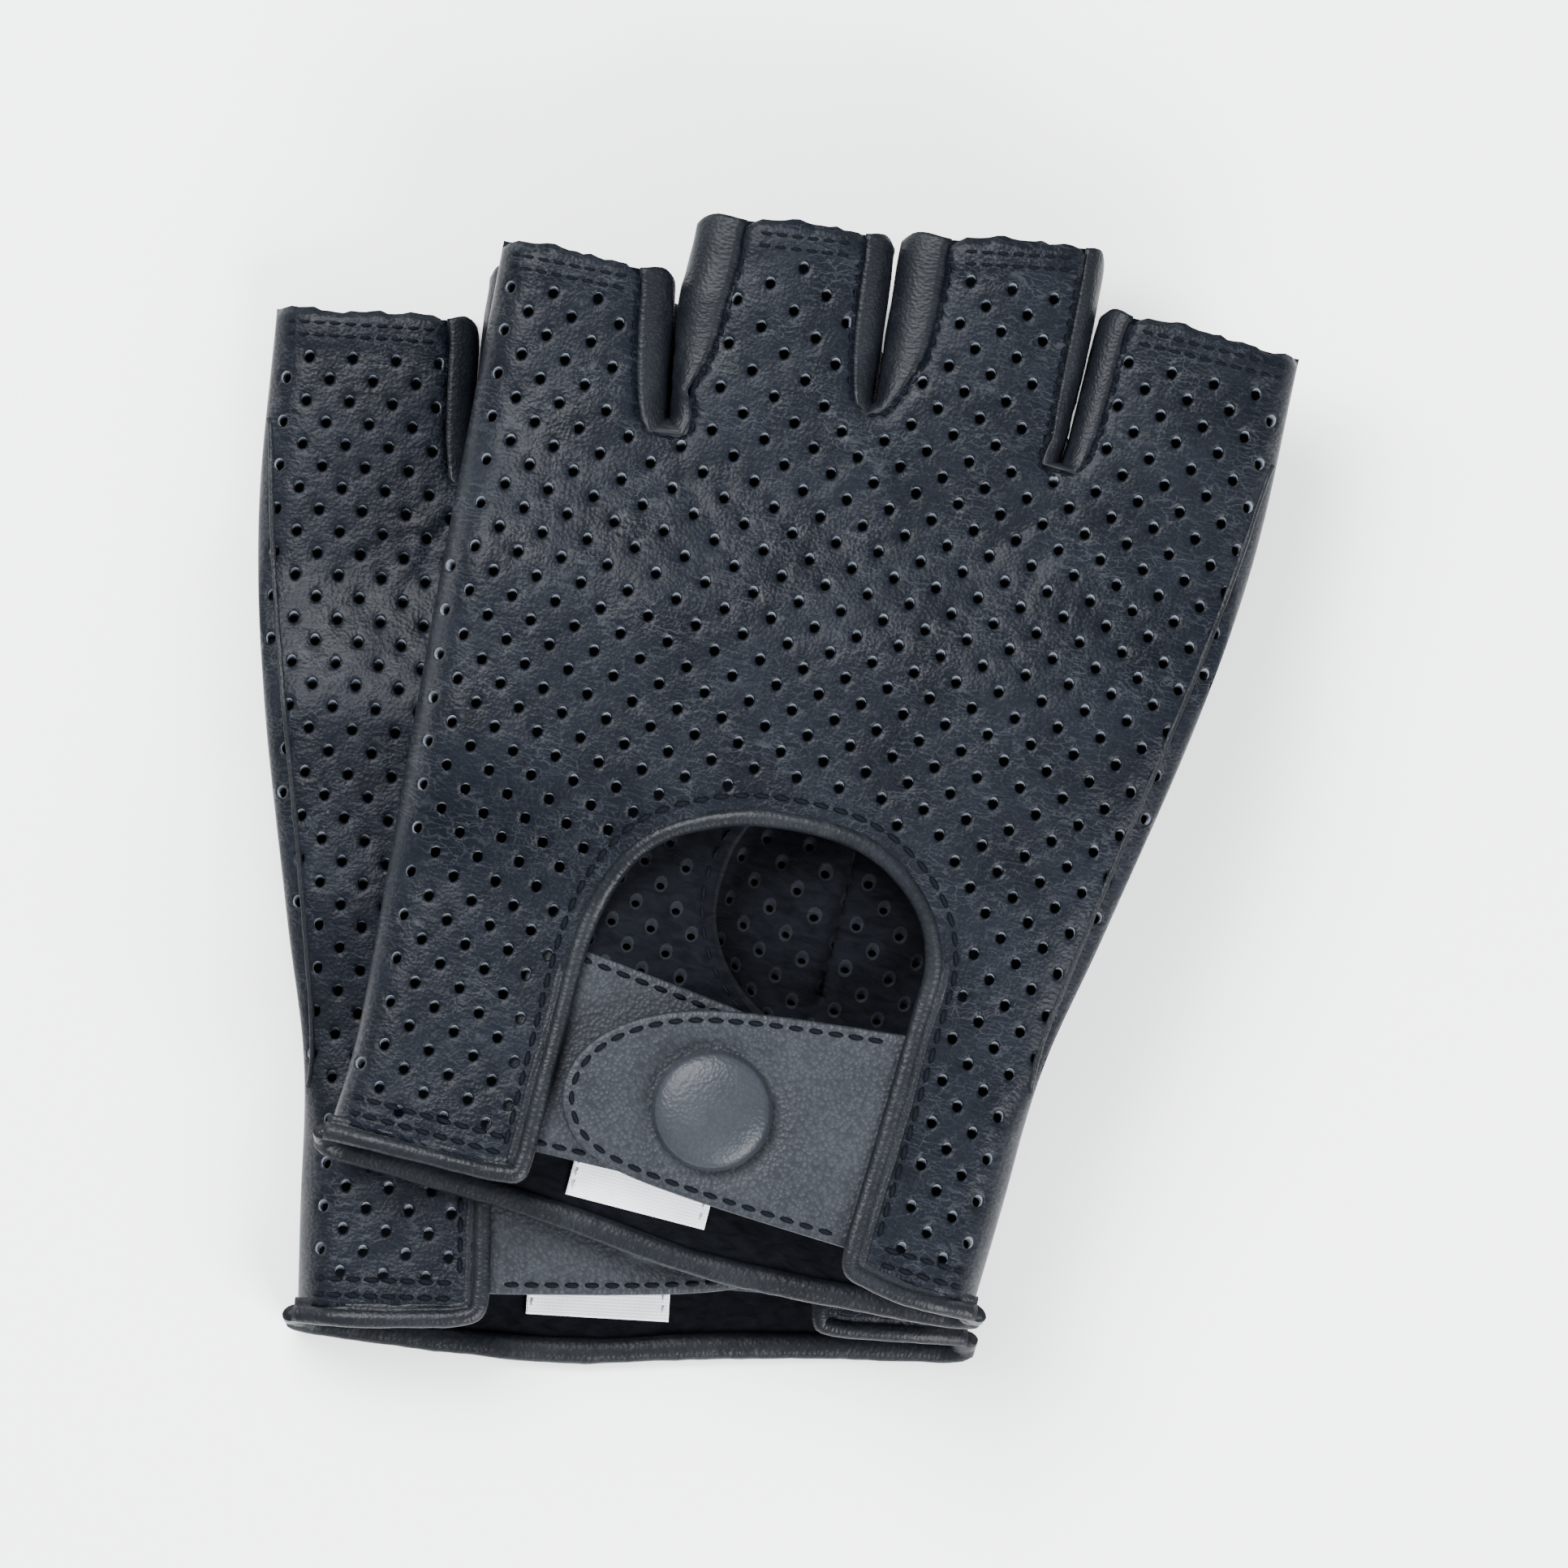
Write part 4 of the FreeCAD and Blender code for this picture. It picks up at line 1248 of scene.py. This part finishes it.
def leather_stitches(side, hand):
    """All the rows of thread in the back of one glove."""
    rows = []

    def lay(line, up=0.02, **kind):
        line = resample(np.asarray(line, float), 0.5)
        path = np.column_stack([line, back_surface(line, hand, STRIP_EDGES) + up])
        rows.append(stitch_run(resample(path, 0.35), **kind))

    hole = opening_line(hand)
    outside = untangle(offset(hole, -4.15), hole, 4.15, 0.08)
    lay(resample(outside[outside[:, 1] > 4.8], 0.5))
    roll = hand["roll"]
    for v in (4.9, 7.1):
        lay([[-44.0, v], [-21.9 + roll, v - 0.3]], pitch=2.5, length=1.9)
        lay([[30.9 + roll, v - 2.0], [44.2, v - 2.4]], pitch=2.5, length=1.9)
    for a, b in hem_lines():
        d = (b - a) / np.linalg.norm(b - a)
        inward = np.array([(b - a)[1], -(b - a)[0]]) / np.linalg.norm(b - a)
        for depth in (1.5, 3.2):
            row = np.array([a + d * 0.9 + inward * depth, b - d * 0.9 + inward * depth])
            lay(resample(row, 0.5), 0.24, pitch=2.15, length=1.6, radius=0.2)
    for edge in STRIP_EDGES:
        near = offset(edge, 0.55)
        near = near[distance_to(near, edge) > 0.45]
        for tip in (edge[0], edge[-1]):
            near = near[distance_to(near, np.array([tip, tip + 0.01])) > 2.5]
        lay(resample(near, 0.5), -0.06, pitch=2.0, length=1.4, radius=0.13)
    verts, faces = join(rows)
    obj = make(side + "_back_stitches", hand, verts, faces, [THREAD])
    finish_piece(obj, side, "glove")


def side_seam(side, hand):
    """Raised welt of the side seam that runs inside the index finger edge."""
    edge = INDEX[(INDEX[:, 1] > 30.0) & (INDEX[:, 1] < 122.0)]
    t = np.linspace(0, 1, len(edge))
    line = offset(edge, -(0.5 + 2.3 * np.sin(math.pi * t) ** 0.6))
    z = back_surface(line, hand)
    path = np.column_stack([line, z - 0.12])
    section = [(0.42 * math.cos(a), 0.34 * math.sin(a)) for a in np.arange(8) * math.pi / 4]
    verts, faces, uv = bound_edge(path, hand["seed"] + 75, section)
    obj = make(side + "_side_seam_welt", hand, verts, faces, [BINDING_LEATHER], uv=uv)
    finish_piece(obj, side, "glove")


def build_glove(side):
    hand = HANDS[side]
    back_panel(side, hand)
    palm_panel(side, hand)
    for k, name in enumerate(["little_ring", "ring_middle", "middle_index"]):
        fourchette(side, hand, k, name)
    opening_binding(side, hand)
    wrist_binding(side, hand)
    straps(side, hand)
    snap_cap(side, hand)
    snap_metal(side)
    label(side, hand)
    thumb(side, hand)
    leather_stitches(side, hand)
    side_seam(side, hand)


# --------------------------------------------------------------- studio stage

FLOOR_HALF = 8.0
SOFTBOX_WHITE = (0.97, 0.985, 1.0)


def floor():
    """Plain pale floor, just under the lowest leather."""
    n = Nodes("studio_white")
    coord = n.add("ShaderNodeTexCoord")
    faint = n.add("ShaderNodeTexNoise")
    faint.inputs["Scale"].default_value = 3.0
    n.link(coord, "Object", faint, "Vector")
    tone = n.ramp(faint, "Fac", [(0.3, (0.90, 0.905, 0.91, 1)), (0.7, (0.92, 0.925, 0.93, 1))])
    n.link(tone, "Color", n.bsdf, "Base Color")
    n.bsdf.inputs["Roughness"].default_value = 0.9
    n.bsdf.inputs["Specular IOR Level"].default_value = 0.1
    corners = [(u * FLOOR_HALF, v * FLOOR_HALF, 0) for u, v in ((-1, -1), (1, -1), (1, 1), (-1, 1))]
    mesh = bpy.data.meshes.new("studio_floor")
    mesh.from_pydata(corners, [], [(0, 1, 2, 3)])
    mesh.materials.append(n.material)
    obj = bpy.data.objects.new("studio_floor", mesh)
    obj.location.z = -0.0003
    bpy.context.scene.collection.objects.link(obj)


def softbox(name, at, size, power):
    """Rectangular light aimed at the gloves."""
    data = bpy.data.lights.new(name, "AREA")
    data.shape = "RECTANGLE"
    data.size, data.size_y = size
    data.energy = power
    data.color = SOFTBOX_WHITE
    obj = bpy.data.objects.new(name, data)
    obj.location = at
    obj.rotation_euler = (Vector((0, 0, 0.01)) - Vector(at)).to_track_quat("-Z", "Y").to_euler()
    obj.visible_camera = False
    bpy.context.scene.collection.objects.link(obj)


CAMERA_HEIGHT = 6.0      # far enough that the gloves are seen with almost no perspective
VIEW_WIDTH = 0.21467     # width seen at the height of the gloves' middle
GLOVE_MIDDLE = 0.017


def studio():
    floor()
    sky = bpy.data.worlds.new("studio_world")
    sky.use_nodes = True
    background = sky.node_tree.nodes["Background"]
    background.inputs["Color"].default_value = (0.96, 0.98, 1.0, 1)
    background.inputs["Strength"].default_value = 1.25
    bpy.context.scene.world = sky
    softbox("softbox_top", (-0.34, 0.46, 0.80), (0.7, 0.5), 36.0)
    softbox("softbox_low", (0.42, -0.62, 0.55), (0.6, 0.5), 26.0)
    camera = bpy.data.cameras.new("photo_camera")
    camera.lens = camera.sensor_width * CAMERA_HEIGHT / VIEW_WIDTH
    camera.clip_end = 2.0 * CAMERA_HEIGHT
    obj = bpy.data.objects.new("photo_camera", camera)
    obj.location = (0.00082, -0.00027, CAMERA_HEIGHT + GLOVE_MIDDLE)
    bpy.context.scene.collection.objects.link(obj)
    bpy.context.scene.camera = obj


for side_name in ("left", "right"):
    build_glove(side_name)
studio()
